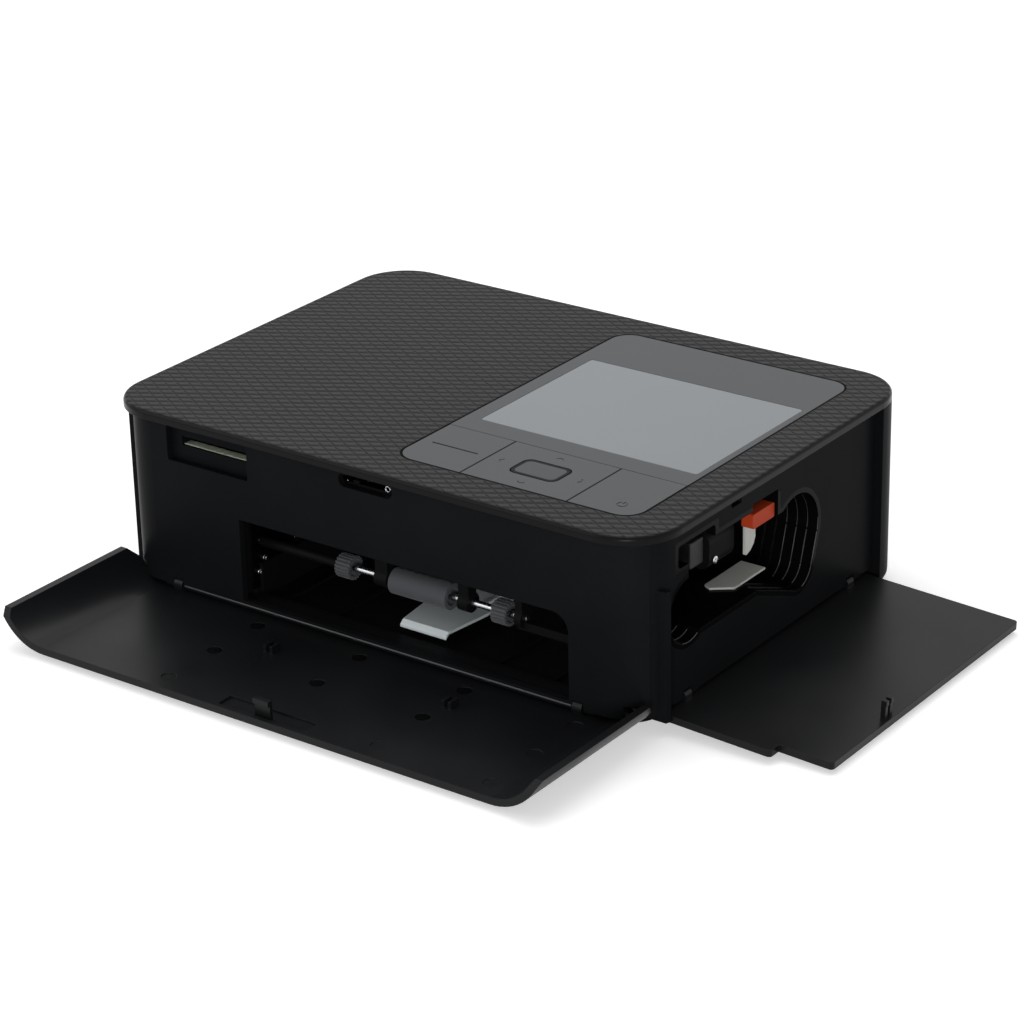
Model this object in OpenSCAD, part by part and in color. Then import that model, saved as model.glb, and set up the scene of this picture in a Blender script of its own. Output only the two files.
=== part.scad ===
// Compact dye-sublimation photo printer with a hinged front cover and a hinged side cover.
// X runs to the right as seen from the front, Y to the back and Z up. The origin is the middle of
// the body's outline, on the surface that the printer stands on. Both covers are modelled open.

/* [Body] */
// Width of the body
body_w = 182.2; // [181:0.1:190]
// Depth of the body with both covers shut
body_d = 133; // [132:0.1:140]
// Height from the table to the top
body_h = 57.6; // [57.4:0.1:60]
// Radius of the four upright corners
corner_r = 16; // [15:0.5:18]
// Height of the rubber feet below the base
foot_h = 1.4; // [1:0.1:2]
// Thickness of the case walls
wall = 2.2; // [2:0.1:2.4]
// Height of the top cover's edge band
top_t = 2.5; // [2.3:0.1:2.8]

/* [Covers] */
// Thickness of the front and side covers
cover_t = 2.1; // [1.9:0.1:2.2]
// Gap between a shut cover and the case
cover_gap = 0.3; // [0.25:0.05:0.4]
// Distance from the front cover's outer face to its hinge
front_hinge_in = 3.7; // [3.6:0.1:3.8]
// Height of the front cover's hinge
front_hinge_z = 5.4; // [5.2:0.1:5.6]
// Distance from the side cover's outer face to its hinge
side_hinge_in = 3.2; // [3.1:0.1:3.3]
// Height of the side cover's hinge
side_hinge_z = 6.7; // [6.6:0.1:7]
// Angle by which the side cover opens past square
side_sag = 2.5; // [0:0.5:2.5]

/* [Control panel] */
// Left edge of the panel
panel_x0 = 2; // [0:0.1:4]
// Right edge of the panel
panel_x1 = 78.4; // [77:0.1:80]
// Front edge of the panel
panel_y0 = -53.6; // [-55:0.1:-52]
// Back edge of the panel
panel_y1 = 54.9; // [53:0.1:56]
// Corner radius of the panel
panel_r = 6; // [4:0.5:7]
// Back edge of the keys
key_y = -28.4; // [-29:0.1:-28]
// Right edge of the menu key
key_x1 = 24; // [22:0.1:26]
// Left edge of the power key
key_x2 = 58; // [56:0.1:60]
// Slit round each key
key_slit = 0.2; // [0.15:0.05:0.3]
// Width and depth of the centre key
ok_size = [14.6, 9.4]; // [9:0.1:16]
// Lowest corner of the screen's visible face
screen_lo = [6.6, -21]; // [-22:0.1:8]
// Size of the screen's visible face
screen_size = [69.9, 53.2]; // [50:0.1:70]

/* [Paper path] */
// Middle of the paper path across the printer
paper_cx = 10.45; // [10:0.05:11]
// Width of the mouth for the paper cassette
mouth_w = 109.7; // [108:0.1:111]
// Bottom and top of the paper cassette's mouth
mouth_z = [6.8, 31.3]; // [6.8:0.1:31.5]
// Centre of the pick-up shaft, in Y and Z
pick_at = [-54.7, 21.5]; // [-55:0.1:22]
// Radius of the pick-up rollers
pick_r = 3.7; // [3.5:0.1:3.8]
// Centre of the platen roller, in Y and Z
platen_at = [-19, 17]; // [-20:0.1:17]
// Radius of the platen roller
platen_r = 5.4; // [5:0.1:5.5]
// Centre of the feed roller, in Y and Z
feed_at = [29, 19.4]; // [19:0.1:30]
// Radius of the feed roller
feed_r = 3.15; // [2.8:0.05:3.2]

/* [Ribbon bay] */
// Centre of the supply spool, in Y and Z
supply_at = [9, 32.5]; // [8.5:0.1:33]
// Radius of the bay round the supply spool
supply_r = 9.8; // [9.5:0.1:9.8]
// Radius of the mouth in the side wall round the supply spool
rear_lobe_r = 11.3; // [11.2:0.1:11.5]
// Centre of the bay round the take-up spool, in Y and Z
front_lobe_at = [-43.4, 30.8]; // [-43.6:0.1:31]
// Radius of the mouth in the side wall round the take-up spool
front_lobe_r = 9; // [8.9:0.1:9.1]
// Angle by which the print head swings down
head_swing = 10; // [8:0.5:10]

/* [Hidden] */
$fn = 64;

half_w = body_w / 2;
half_d = body_d / 2;
inset = cover_t + cover_gap;
inner_r = corner_r - inset;
top_z = body_h - top_t;
running = 0.05;
bite = 0.01;

gear_module = 0.8;
platen_teeth = 24;
pick_teeth = 15;
feed_teeth = 14;
small_idler_teeth = 26;
large_idler_teeth = 42;
takeup_teeth = 14;
pinion_teeth = 14;

// Colours, as the photo shows them
shell_c = "#2b2c2e";
texture_c = "#3a3b3d";
panel_c = "#505357";
screen_c = "#7c858b";
gloss_c = "#151618";
rubber_c = "#3c3d3f";
steel_c = "#b9bcbf";
nylon_c = "#d8d7d0";
orange_c = "#b5432a";
board_c = "#1f5a3a";
grey_c = "#6a6c6f";

// A block between its lowest and highest corners
module block(lo, hi) {
    translate(lo) cube(hi - lo);
}

// A flat rectangle with round corners between two corners
module round_rect(lo, hi, r) {
    translate([lo.x + r, lo.y]) square([hi.x - lo.x - 2 * r, hi.y - lo.y]);
    translate([lo.x, lo.y + r]) square([hi.x - lo.x, hi.y - lo.y - 2 * r]);
    for (x = [lo.x + r, hi.x - r], y = [lo.y + r, hi.y - r])
        translate([x, y]) circle(r);
}

// A profile in X and Y raised between two heights
module along_z(z0, z1) {
    translate([0, 0, z0]) linear_extrude(z1 - z0) children();
}

// A profile in Y and Z drawn out between two X places
module along_x(x0, x1) {
    translate([x0, 0, 0]) rotate([90, 0, 90]) linear_extrude(x1 - x0) children();
}

// A profile in X and Z drawn out between two Y places
module along_y(y0, y1) {
    translate([0, y1, 0]) rotate([90, 0, 0]) linear_extrude(y1 - y0) children();
}

// Round rods along each axis; the centre is given in the two other axes
module rod_x(x0, x1, at, r) {
    translate([x0, at.x, at.y]) rotate([0, 90, 0]) cylinder(h = x1 - x0, r = r);
}

module rod_y(y0, y1, at, r) {
    translate([at.x, y1, at.y]) rotate([90, 0, 0]) cylinder(h = y1 - y0, r = r);
}

module rod_z(z0, z1, at, r) {
    translate([at.x, at.y, z0]) cylinder(h = z1 - z0, r = r);
}

// The side of a slab, r deep, whose upper edge is rounded by f in short flats
function soft_edge(z0, z1, r, f) = [[0, z0], [r, z0],
    for (i = [0 : 5]) [r - f + f * cos(18 * i), z1 - f + f * sin(18 * i)], [0, z1]];

// A slab with round corners and a rounded upper edge
module soft_slab(lo, hi, r, f) {
    mid = (lo + hi) / 2;
    reach = (hi - lo) / 2 - [r, r, 0];
    along_z(lo.z, hi.z) translate([mid.x, mid.y]) square(2 * [reach.x, reach.y], center = true);
    translate([mid.x, mid.y, 0]) for (turn = [0 : 90 : 270]) rotate(turn) {
        across = turn % 180 == 0 ? reach : [reach.y, reach.x];
        translate([across.x, across.y, 0]) rotate_extrude(angle = 90)
            polygon(soft_edge(lo.z, hi.z, r, f));
        translate([across.x, 0, 0]) along_y(-across.y, across.y)
            polygon(soft_edge(lo.z, hi.z, r, f));
    }
}

// The outline with both covers shut
module full_outline() {
    round_rect([-half_w, -half_d], [half_w, half_d], corner_r);
}

// Where the front cover's ends and the side cover's ends stop
cover_end_y = -half_d + 10;
recess_y1 = 50.3;

// The case's outline, set back where the covers lie
module case_outline() {
    round_rect([-half_w + inset, -half_d + inset], [half_w - inset, half_d], inner_r);
    intersection() {
        full_outline();
        union() {
            translate([-half_w, cover_end_y + cover_gap]) square([half_w, body_d]);
            translate([0, recess_y1]) square([half_w, half_d]);
        }
    }
}

// The room inside the case
module case_room() {
    side = half_w - inset - wall;
    round_rect([-side, -half_d + inset + wall], [side, half_d - wall], inner_r - wall);
    round_rect([-half_w + wall, -50], [0, half_d - wall], corner_r - wall);
}

// The base stands further back, so that each cover's foot can swing under the case
front_skirt_y = -half_d + front_hinge_in + 4.7;
side_skirt_x = half_w - side_hinge_in - 4.4;
base_top = front_hinge_z;

module base_outline() {
    intersection() {
        case_outline();
        union() {
            round_rect([-half_w - corner_r, front_skirt_y], [side_skirt_x, half_d + 9], 9);
            translate([0, recess_y1]) square([half_w, half_d]);
        }
    }
}

module base_room() {
    round_rect([-half_w + wall + 9, front_skirt_y + wall],
        [side_skirt_x - wall, half_d - wall], 6.8);
    round_rect([-half_w + wall, -45], [0, half_d - wall], corner_r - wall);
}

// Top of the printer

panel_z = top_z + 0.8;
panel_lo = [panel_x0, panel_y0];
panel_hi = [panel_x1, panel_y1];
room_side = half_w - inset - wall;

module panel_area(gap) {
    round_rect([panel_x0 + gap, panel_y0 + gap], [panel_x1 - gap, panel_y1 - gap], panel_r - gap);
}

// A ring that sits inside the case walls and keeps the top cover in place
module locating_rim() {
    play = 0.2;
    rim = 1.4;
    difference() {
        round_rect([-room_side + play, -half_d + inset + wall + play],
            [room_side - play, half_d - wall - play], inner_r - wall - play);
        round_rect([-room_side + play + rim, -half_d + inset + wall + play + rim],
            [room_side - play - rim, half_d - wall - play - rim], inner_r - wall - play - rim);
    }
}

module top_cover() color(texture_c) {
    ledge = 2.5;
    difference() {
        union() {
            soft_slab([-half_w, -half_d, top_z], [half_w, half_d, body_h], corner_r, 1.1);
            along_z(top_z - 1, top_z + bite) locating_rim();
        }
        // a notch in the rim for the side cover's catch
        block([0, catch_y - 3, top_z - 2], [half_w, catch_y + 3, top_z]);
        along_z(panel_z, body_h + 1) panel_area(-0.15);
        along_z(top_z - 1, panel_z + bite) intersection() {
            panel_area(-0.15);
            union() {
                translate([panel_x0 + ledge, key_y]) square([panel_x1 - panel_x0 - 2 * ledge,
                    panel_y1 - key_y - ledge]);
                translate([panel_x0 - 1, panel_y0 - 1])
                    square([panel_x1 - panel_x0 + 2, key_y - panel_y0 + 1]);
            }
        }
    }
}

screen_hi = screen_lo + screen_size;

module control_panel() color(panel_c) {
    along_z(panel_z, body_h) difference() {
        intersection() {
            panel_area(0);
            translate([panel_x0, key_y + key_slit / 2])
                square([panel_x1 - panel_x0, panel_y1 - key_y]);
        }
        round_rect(screen_lo, screen_hi, 1);
    }
}

module display_window() color(screen_c) {
    play = [0.05, 0.05];
    along_z(panel_z, body_h - 0.05) round_rect(screen_lo + play, screen_hi - play, 1);
}

module lcd_module() color(steel_c) {
    lo = [panel_x0 + 2.8, screen_lo.y - 2];
    hi = [panel_x1 - 2.8, screen_hi.y + 2];
    depth = 4.2;
    block([lo.x, lo.y, panel_z - depth], [hi.x, hi.y, panel_z - 1]);
    block([lo.x + 1, lo.y + 1, panel_z - 1 - bite], [hi.x - 1, hi.y - 1, panel_z]);
}

// Keys, their board and its switches

board_z = 52.4;
board_t = 1.2;
switch_z = 54.6;
key_mid_y = (panel_y0 + key_y) / 2;
menu_x = (panel_x0 + key_x1) / 2;
power_x = (key_x2 + panel_x1) / 2;
pad_at = [(key_x1 + key_x2) / 2, key_mid_y];
rock_reach = 6.5;
pad_reach = [11.5, 10.4];
rib_r = 0.8;
rib_z = 55.25;
plunger_z = 54.95;
switches = [
    [menu_x, key_mid_y - rock_reach], [menu_x, key_mid_y + rock_reach],
    [power_x, key_mid_y - rock_reach], [power_x, key_mid_y + rock_reach],
    [pad_at.x - pad_reach.x, pad_at.y], [pad_at.x + pad_reach.x, pad_at.y],
    [pad_at.x, pad_at.y - pad_reach.y], [pad_at.x, pad_at.y + pad_reach.y], pad_at
];

module key_board() color(board_c) {
    lo = [panel_x0 - 3, panel_y0 + 1.5];
    hi = [panel_x1 + 3, key_y - 1];
    block([lo.x, lo.y, board_z], [hi.x, hi.y, board_z + board_t]);
    for (x = [lo.x + 1.4, hi.x - 1.4], y = [lo.y + 2, hi.y - 2])
        rod_z(board_z, top_z, [x, y], 1.3);
    for (at = switches) {
        block([at.x - 1.7, at.y - 1.7, board_z], [at.x + 1.7, at.y + 1.7, board_z + board_t + 0.7]);
        rod_z(board_z, switch_z, at, 0.9);
    }
    for (x = [menu_x, power_x])
        block([x - 3, key_mid_y - 0.6, board_z], [x + 3, key_mid_y + 0.6, rib_z - rib_r - running]);
}

// The keys' area between two X places, less the slits round it
module key_area(x0, x1) {
    intersection() {
        panel_area(key_slit / 2);
        translate([x0, panel_y0]) square([x1 - x0, key_y - key_slit / 2 - panel_y0]);
    }
}

// A key that rocks on a rib to press the switch at its front or its back
module rocker_key(x0, x1, x) {
    along_z(panel_z, body_h) key_area(x0, x1);
    rod_x(x - 4, x + 4, [key_mid_y, rib_z], rib_r);
    for (y = [key_mid_y - rock_reach, key_mid_y + rock_reach])
        rod_z(plunger_z, panel_z + bite, [x, y], 1.1);
}

mark_w = 0.35;
mark_z = body_h - 0.15;

module menu_back_key() color(panel_c) difference() {
    rocker_key(panel_x0, key_x1 - key_slit / 2, menu_x);
    block([menu_x - 7.6, key_mid_y - mark_w / 2, mark_z], [menu_x + 7.6, key_mid_y + mark_w / 2, body_h + 1]);
}

// The generic power symbol: a broken ring with a bar
module power_mark(at, r) {
    along_z(mark_z, body_h + 1) translate(at) {
        difference() {
            circle(r);
            circle(r - mark_w);
            translate([-r / 2, 0]) square([r, r + 1]);
        }
        translate([-mark_w / 2, r * 0.15]) square([mark_w, r]);
    }
}

module print_power_key() color(panel_c) difference() {
    rocker_key(key_x2 + key_slit / 2, panel_x1, power_x);
    power_mark([power_x + 2.9, key_mid_y - rock_reach], 1.5);
}

gimbal_z = [55.1, 55.5];

// The ring under the pad tips left and right, and the pad tips to the front and back on it
module pad_gimbal() color(grey_c) difference() {
    union() {
        along_z(gimbal_z[0], gimbal_z[1])
            round_rect(pad_at - [13.5, 8.6], pad_at + [13.5, 8.6], 2);
        for (x = [-1, 1])
            rod_z(plunger_z, gimbal_z[1], [pad_at.x + x * pad_reach.x, pad_at.y], 1);
    }
    along_z(gimbal_z[0] - 1, gimbal_z[1] + 1)
        round_rect(pad_at - [8.4, 5.8], pad_at + [8.4, 5.8], 2);
}

ok_gap = 0.4;

// A pointer of two short strokes, turned to a direction
module chevron(at, turn) {
    translate(at) rotate(turn) for (side = [-1, 1])
        rotate(side * 55) translate([-0.1, -mark_w / 2]) square([1.5, mark_w]);
}

module navigation_pad() color(panel_c) difference() {
    union() {
        along_z(panel_z + 0.1, body_h) key_area(key_x1 + key_slit / 2, key_x2 - key_slit / 2);
        for (y = [-1, 1])
            rod_z(plunger_z, panel_z + 0.2, [pad_at.x, pad_at.y + y * pad_reach.y], 1);
    }
    along_z(panel_z - 1, body_h + 1)
        round_rect(pad_at - ok_size / 2 - [ok_gap, ok_gap], pad_at + ok_size / 2 + [ok_gap, ok_gap], 2.6);
    along_z(mark_z, body_h + 1) {
        chevron(pad_at - [13.2, 0], 0);
        chevron(pad_at + [13.2, 0], 180);
        chevron(pad_at - [0, 9.6], 90);
        chevron(pad_at + [0, 9.6], 270);
    }
}

module ok_button() color(panel_c) {
    along_z(panel_z, body_h) round_rect(pad_at - ok_size / 2, pad_at + ok_size / 2, 2.3);
    rod_z(switch_z + 0.6, panel_z + bite, pad_at, 1.4);
}

// Case

seam_y = -57.9;
lip_t = 1;
recess_x = half_w - inset;
side_y0 = -54.2;
side_y1 = 47.8;
hinge_at = [-half_d + front_hinge_in, front_hinge_z];
side_hinge_at = [half_w - side_hinge_in, side_hinge_z];
front_lug_x = 68;
side_lug_y = [-44, 38];
front_pin_r = 0.7;
side_pin_r = 0.4;
mouth_x = [paper_cx - mouth_w / 2, paper_cx + mouth_w / 2];
catch_y = -20.8;
catch_z = 53.2;
front_catch_at = [0.45, 51.9];
card_lo = [-69, 43.6];
card_hi = [-40.4, 54.1];
slot_y = [platen_at.x, half_d];
slot_z = [19.4, 25.4];
fan_at = [-62, 30];
usb_at = [-14, 16];
dc_at = [67, 15];

heel_at = supply_at + [1.6, -10.5];
heel_r = 6.6;
// Directions in which the tangents to the heel look
heel_out = -atan2(10.5, 1.6) + acos((rear_lobe_r - heel_r) / norm(heel_at - supply_at));
back_n = [cos(heel_out), sin(heel_out)];
ramp_n = [cos(-112), sin(-112)];
sill_z = 23.4;
ramp_at = [-10.4, sill_z];

// The ribbon bay's mouth: a round lobe for each spool, and a window for the head between them
module mouth_lobes(d) {
    low = sill_z - max(d, 0);
    translate(supply_at) circle(rear_lobe_r + d);
    translate(heel_at) circle(heel_r + d);
    polygon([supply_at, heel_at, heel_at + (heel_r + d - 0.1) * back_n,
        supply_at + (rear_lobe_r + d - 0.1) * back_n]);
    polygon([heel_at, heel_at + (heel_r + d - 0.1) * ramp_n, ramp_at + d * ramp_n, [ramp_at.x, 34]]);
    translate(front_lobe_at) circle(front_lobe_r + d);
    translate([-43.5 - d, 30]) square([10, 16]);
    round_rect([-48.3 - d, 44 - d], [-31 + d, 50.2 + d], 1);
    round_rect([-41, low], [-0.7 + d, 47 + d], 1.5);
    translate([-38, low]) square([41, 41.5 + d - low]);
}

lever_room = [[66, -13, 40.6], [half_w, -0.5, 49]];

// The raised lines of the air vents, as upright slots
module vent_slots(x0, count, pitch, z0, z1) {
    for (i = [0 : count - 1])
        round_rect([x0 + i * pitch, z0], [x0 + i * pitch + 1.8, z1], 0.85);
}

// Bosses that the case screws bite into, tied to the walls
module screw_bosses() {
    for (at = screw_at) {
        rod_z(base_top, 11, at, 2.6);
        end_x = at.x < 0 ? -half_w + 1 : half_w - inset - 1;
        block([min(at.x, end_x), at.y - 0.7, side_hinge_z],
            [max(at.x, end_x), at.y + 0.7, side_hinge_z + lip_t]);
    }
}

module main_case() color(shell_c) difference() {
    intersection() {
        union() {
            screw_bosses();
            along_z(base_top, top_z) difference() {
                case_outline();
                case_room();
            }
            along_z(base_top, side_hinge_z + lip_t) difference() {
                case_outline();
                base_room();
            }
            // the upright rib between the ends of the two covers
            along_z(4, 41) intersection() {
                full_outline();
                translate([room_side - 1, cover_end_y + cover_gap])
                    square([half_w, side_y0 - cover_end_y - 2 * cover_gap]);
            }
        }
        block([-half_w, seam_y, 0], [half_w, half_d, body_h]);
    }
    // room under the side wall for the side cover's foot
    difference() {
        block([side_skirt_x, side_y0 - cover_gap, 0], [half_w, recess_y1, side_hinge_z]);
        for (y = side_lug_y)
            rod_y(y - 5.5, y + 5.5, side_hinge_at, 0.8);
    }
    for (y = side_lug_y) {
        rod_y(y - 2, y + 2, side_hinge_at, 2.1);
        rod_y(y - 5, y + 5, side_hinge_at, side_pin_r);
    }
    for (at = screw_at)
        rod_z(0, 10, at, screw_r);
    // the floor of the paper mouth
    block([mouth_x[0] - 0.6, seam_y - 1, mouth_z[0] - 0.4], [mouth_x[1] + 0.6, -40, 20]);
    along_x(room_side - 1, half_w) mouth_lobes(1.5);
    block(lever_room[0], lever_room[1]);
    block([room_side - 1, catch_y - 2.6, catch_z - 1.4], [half_w, catch_y + 2.3, catch_z + 1.5]);
    // where the paper comes out at the back for each colour
    along_y(half_d - 10, half_d + 1)
        round_rect([mouth_x[0] + 1, slot_z[0]], [mouth_x[1] - 1, slot_z[1]], 2);
    along_y(half_d - 10, half_d + 1) vent_slots(fan_at.x - 13.6, 8, 3.6, 20, 40);
    along_y(half_d - 10, half_d + 1) vent_slots(20, 8, 3.6, 34, 46);
    rod_y(half_d - 10, half_d + 1, dc_at, 4.2);
    along_x(-half_w - 1, -room_side)
        round_rect([usb_at.x - 4.6, usb_at.y - 1.7], [usb_at.x + 4.6, usb_at.y + 1.7], 1.6);
}

module front_panel() color(shell_c) {
    difference() {
        union() {
            intersection() {
                union() {
                    along_z(front_hinge_z, top_z) difference() {
                        case_outline();
                        case_room();
                    }
                    along_z(front_hinge_z, front_hinge_z + lip_t) difference() {
                        case_outline();
                        base_room();
                    }
                }
                block([-half_w, -half_d, 0], [half_w, seam_y, body_h]);
            }
            rod_x(-front_lug_x - 5, front_lug_x + 5, hinge_at, 1.25);
        }
        for (x = [-front_lug_x, front_lug_x]) {
            rod_x(x - 1.8, x + 1.8, hinge_at, 2.35);
            rod_x(x - 6, x + 6, hinge_at, front_pin_r);
        }
        // room at each corner for the foot of the cover's curled end
        for (x = [-84.8, 81.2])
            rod_x(x, x + 3.6, hinge_at, 3.65);
        for (x = [-86.8, 84.8])
            rod_x(x, x + 2, hinge_at, 4.5);
        along_y(-half_d, -half_d + 10) {
            round_rect([mouth_x[0], mouth_z[0]], [mouth_x[1], mouth_z[1]], 5);
            translate([mouth_x[0], mouth_z[0]]) square([mouth_w, 6]);
            translate([mouth_x[0], mouth_z[1] - 6]) square(6);
            round_rect(card_lo, card_hi, 0.6);
            round_rect(front_catch_at - [9, 1.9], front_catch_at + [9, 1.9], 1.89);
        }
    }
}

module base_tray() color(shell_c) difference() {
    intersection() {
        mirror([0, 0, 1])
            soft_slab([-half_w, -half_d, -base_top], [half_w, half_d, -foot_h], corner_r, 2.4);
        along_z(foot_h, base_top) base_outline();
    }
    difference() {
        along_z(foot_h + wall, base_top + 1) base_room();
        for (at = screw_at)
            rod_z(foot_h, base_top, at, 3);
    }
    for (at = screw_at) {
        rod_z(0, foot_h + 1.3, at, 2.2);
        rod_z(0, base_top + 1, at, screw_r);
    }
}

screw_r = 1;
screw_at = [[-76, -30], [-76, 56], [76, 56], [76, -30]];
foot_at = [[-68, -46], [-68, 50], [68, 50], [68, -46]];

module rubber_feet() color(rubber_c) {
    for (at = foot_at)
        translate([at.x, at.y, 0]) rotate_extrude()
            polygon([[0, 0], [4.8, 0], [5.4, 0.6], [5.4, foot_h], [0, foot_h]]);
    block([-9, -5, 0], [9, 5, foot_h]);
}

module case_screws() color(steel_c) {
    for (at = screw_at) difference() {
        union() {
            rod_z(foot_h + 0.3, foot_h + 1.3, at, 2);
            rod_z(foot_h + 1.3 - bite, 9.5, at, screw_r);
        }
        for (turn = [0, 90])
            translate([at.x, at.y, foot_h]) rotate(turn) cube([2.4, 0.5, 1.4], center = true);
    }
}

// Covers, drawn shut and then opened about their hinges

cover_top = top_z - 0.2;
cover_low = 3;
side_low = 4.2;
lug_r = 2;
side_lug_r = 1.3;
lug_t = 3;

// A pair of small upright ribs that grip a card
module twin_rib(at) {
    for (x = [-1, 1])
        block([at.x + x * 1.1 - 0.5, -half_d + cover_t - bite, at.y - 1.7],
            [at.x + x * 1.1 + 0.5, -half_d + cover_t + 2, at.y + 1.7]);
}

module front_cover_shut() difference() {
    union() {
        along_z(cover_low, cover_top) intersection() {
            difference() {
                full_outline();
                round_rect([-half_w + cover_t, -half_d + cover_t],
                    [half_w - cover_t, half_d], corner_r - cover_t);
            }
            translate([-half_w, -half_d]) square([body_w, cover_end_y + half_d]);
        }
        for (x = [-front_lug_x, front_lug_x])
            rod_x(x - lug_t / 2, x + lug_t / 2, hinge_at, lug_r);
    }
    for (x = [-front_lug_x, front_lug_x])
        rod_x(x - 3, x + 3, hinge_at, front_pin_r + running);
    // the corners of both curled ends
    for (x = [-half_w, half_w - 9]) {
        corner_cut(x, cover_low, 3);
        corner_cut(x, cover_top, 2);
    }
    // shallow recess round the latch hook
    block([-13.8, -half_d + cover_t - 0.7, 48.2], [15.1, -half_d + cover_t + 1, 53.4]);
    for (x = [-35, 0.5, 35.5, 71], z = [12, 30, 48.6])
        if (!(x == 0.5 && z > 40))
            rod_y(-half_d + cover_t - 0.25, -half_d + cover_t + 1, [x, z], 2.1);
}

// Takes the sharp corner off a curled end
module corner_cut(x, z, leg) {
    along_x(x, x + 9) translate([cover_end_y, z]) rotate(45) square(leg * sqrt(2), center = true);
}

module front_latch_hook() {
    face = -half_d + cover_t - 0.7 - bite;
    translate([front_catch_at.x, 0, front_catch_at.y]) {
        block([-2.6, face, -0.5], [2.6, face + 5.4, 0.5]);
        block([-2.6, face + 3.9, -0.5], [2.6, face + 5.4, 1.2]);
    }
}

module open_front() {
    translate([0, hinge_at.x, hinge_at.y]) rotate([90, 0, 0]) translate([0, -hinge_at.x, -hinge_at.y])
        children();
}

module front_cover() color(shell_c) open_front() {
    front_cover_shut();
    front_latch_hook();
    twin_rib([-22, 21.6]);
    twin_rib([37.6, 21.1]);
}

module front_hinge_pins() color(steel_c) {
    for (x = [-front_lug_x, front_lug_x])
        rod_x(x - 5, x + 5, hinge_at, front_pin_r);
}

module open_side() {
    translate([side_hinge_at.x, 0, side_hinge_at.y]) rotate([0, 90 + side_sag, 0])
        translate([-side_hinge_at.x, 0, -side_hinge_at.y]) children();
}

side_step_z = 39.1;

module side_cover_shut() difference() {
    union() {
        along_x(half_w - cover_t, half_w) {
            round_rect([side_y0 + 4, side_low], [side_y1, cover_top], 1.2);
            round_rect([side_y0, side_low], [0, side_step_z], 1.2);
        }
        for (y = side_lug_y) {
            rod_y(y - lug_t / 2, y + lug_t / 2, side_hinge_at, side_lug_r);
            block([side_hinge_at.x, y - lug_t / 2, side_hinge_z - side_lug_r],
                [half_w - cover_t + bite, y + lug_t / 2, side_hinge_z + side_lug_r]);
        }
        for (y = [-1, 1]) {
            block([half_w - cover_t - 5.2, catch_y + y * 1.2 - 0.6, catch_z - 0.7],
                [half_w - cover_t + bite, catch_y + y * 1.2 + 0.6, catch_z + 0.7]);
            block([half_w - cover_t - 5.2, catch_y + y * 1.2 - 0.6, catch_z - 0.7],
                [half_w - cover_t - 3.8, catch_y + y * 1.2 + 0.6, catch_z + 0.9]);
        }
    }
    for (y = side_lug_y)
        rod_y(y - 3, y + 3, side_hinge_at, side_pin_r + running);
}

module side_cover() color(shell_c) open_side() side_cover_shut();

module side_hinge_pins() color(steel_c) {
    for (y = side_lug_y)
        rod_y(y - 4.5, y + 4.5, side_hinge_at, side_pin_r);
}

// Frame

plate_t = 1.2;
left_x = mouth_x[0] - 1.8;
right_x = mouth_x[1] + 0.7;
floor_z = foot_h + wall;
shaft_r = 2;
pick_shaft_r = 1;
gear_x = left_x - 4.2;
gear_t = 3;
gear_plate_x = gear_x - 2.8;
head_pivot = [27, 47.5];
pinch_r = 2.5;
pinch_journal_r = 1.2;
pinch_at = [feed_at.x, feed_at.y + feed_r + pinch_r + 0.3];

// Where two circles round a and b meet, on the side that lies up or down
function meet(a, b, ra, rb, side) =
    let (d = norm(b - a), u = (b - a) / d, along = (ra * ra - rb * rb + d * d) / (2 * d),
        away = sqrt(ra * ra - along * along))
    a + along * u + side * away * [-u.y, u.x];

function pitch_r(teeth) = gear_module * teeth / 2;
function centres(t1, t2) = pitch_r(t1) + pitch_r(t2);
function direction(a, b) = atan2(b.y - a.y, b.x - a.x);

small_idler_at = meet(platen_at, pick_at, centres(platen_teeth, small_idler_teeth),
    centres(pick_teeth, small_idler_teeth), 1);
large_idler_at = meet(platen_at, feed_at, centres(platen_teeth, large_idler_teeth),
    centres(feed_teeth, large_idler_teeth), 1);
pinion_turn = 35;
motor_at = large_idler_at
    + centres(large_idler_teeth, pinion_teeth) * [cos(pinion_turn), sin(pinion_turn)];
takeup_turn = 106;
takeup_at = small_idler_at
    + centres(small_idler_teeth, takeup_teeth) * [cos(takeup_turn), sin(takeup_turn)];

// The front of each side plate is cut down to pass under the card reader
module plate_shape() {
    difference() {
        round_rect([pick_at.x - 4, floor_z], [38, 50.4], 1.5);
        translate([pick_at.x - 5, 42.4]) square([25, 10]);
        translate([pick_at.x - 5, 0]) square([front_skirt_y + wall + 0.3 - pick_at.x + 5, 8.2]);
    }
}

module frame_holes(play) {
    translate(pick_at) circle(pick_shaft_r + play);
    translate(platen_at) circle(shaft_r + play);
    translate(feed_at) circle(shaft_r + play);
    translate(takeup_at) circle(shaft_r + play);
    translate(supply_at) circle(shaft_r + play);
    translate(head_pivot) circle(shaft_r);
    for (at = bar_at)
        translate(at) circle(bar_r);
}

bar_r = 1.8;
bar_at = [[34.5, 9], [34.5, 39]];
axle_r = 1.5;

module left_frame_plate() color(steel_c) {
    along_x(left_x, left_x + plate_t) difference() {
        plate_shape();
        frame_holes(running);
        for (at = [small_idler_at, large_idler_at])
            translate(at) circle(axle_r);
    }
}

module right_frame_plate() color(steel_c) {
    along_x(right_x, right_x + plate_t) difference() {
        plate_shape();
        translate(platen_at) circle(shaft_r + running);
        translate(feed_at) circle(shaft_r + running);
        translate(head_pivot) circle(shaft_r);
        for (at = bar_at)
            translate(at) circle(bar_r);
        troughs_outline(trough_t);
        head_window();
    }
}

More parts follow.
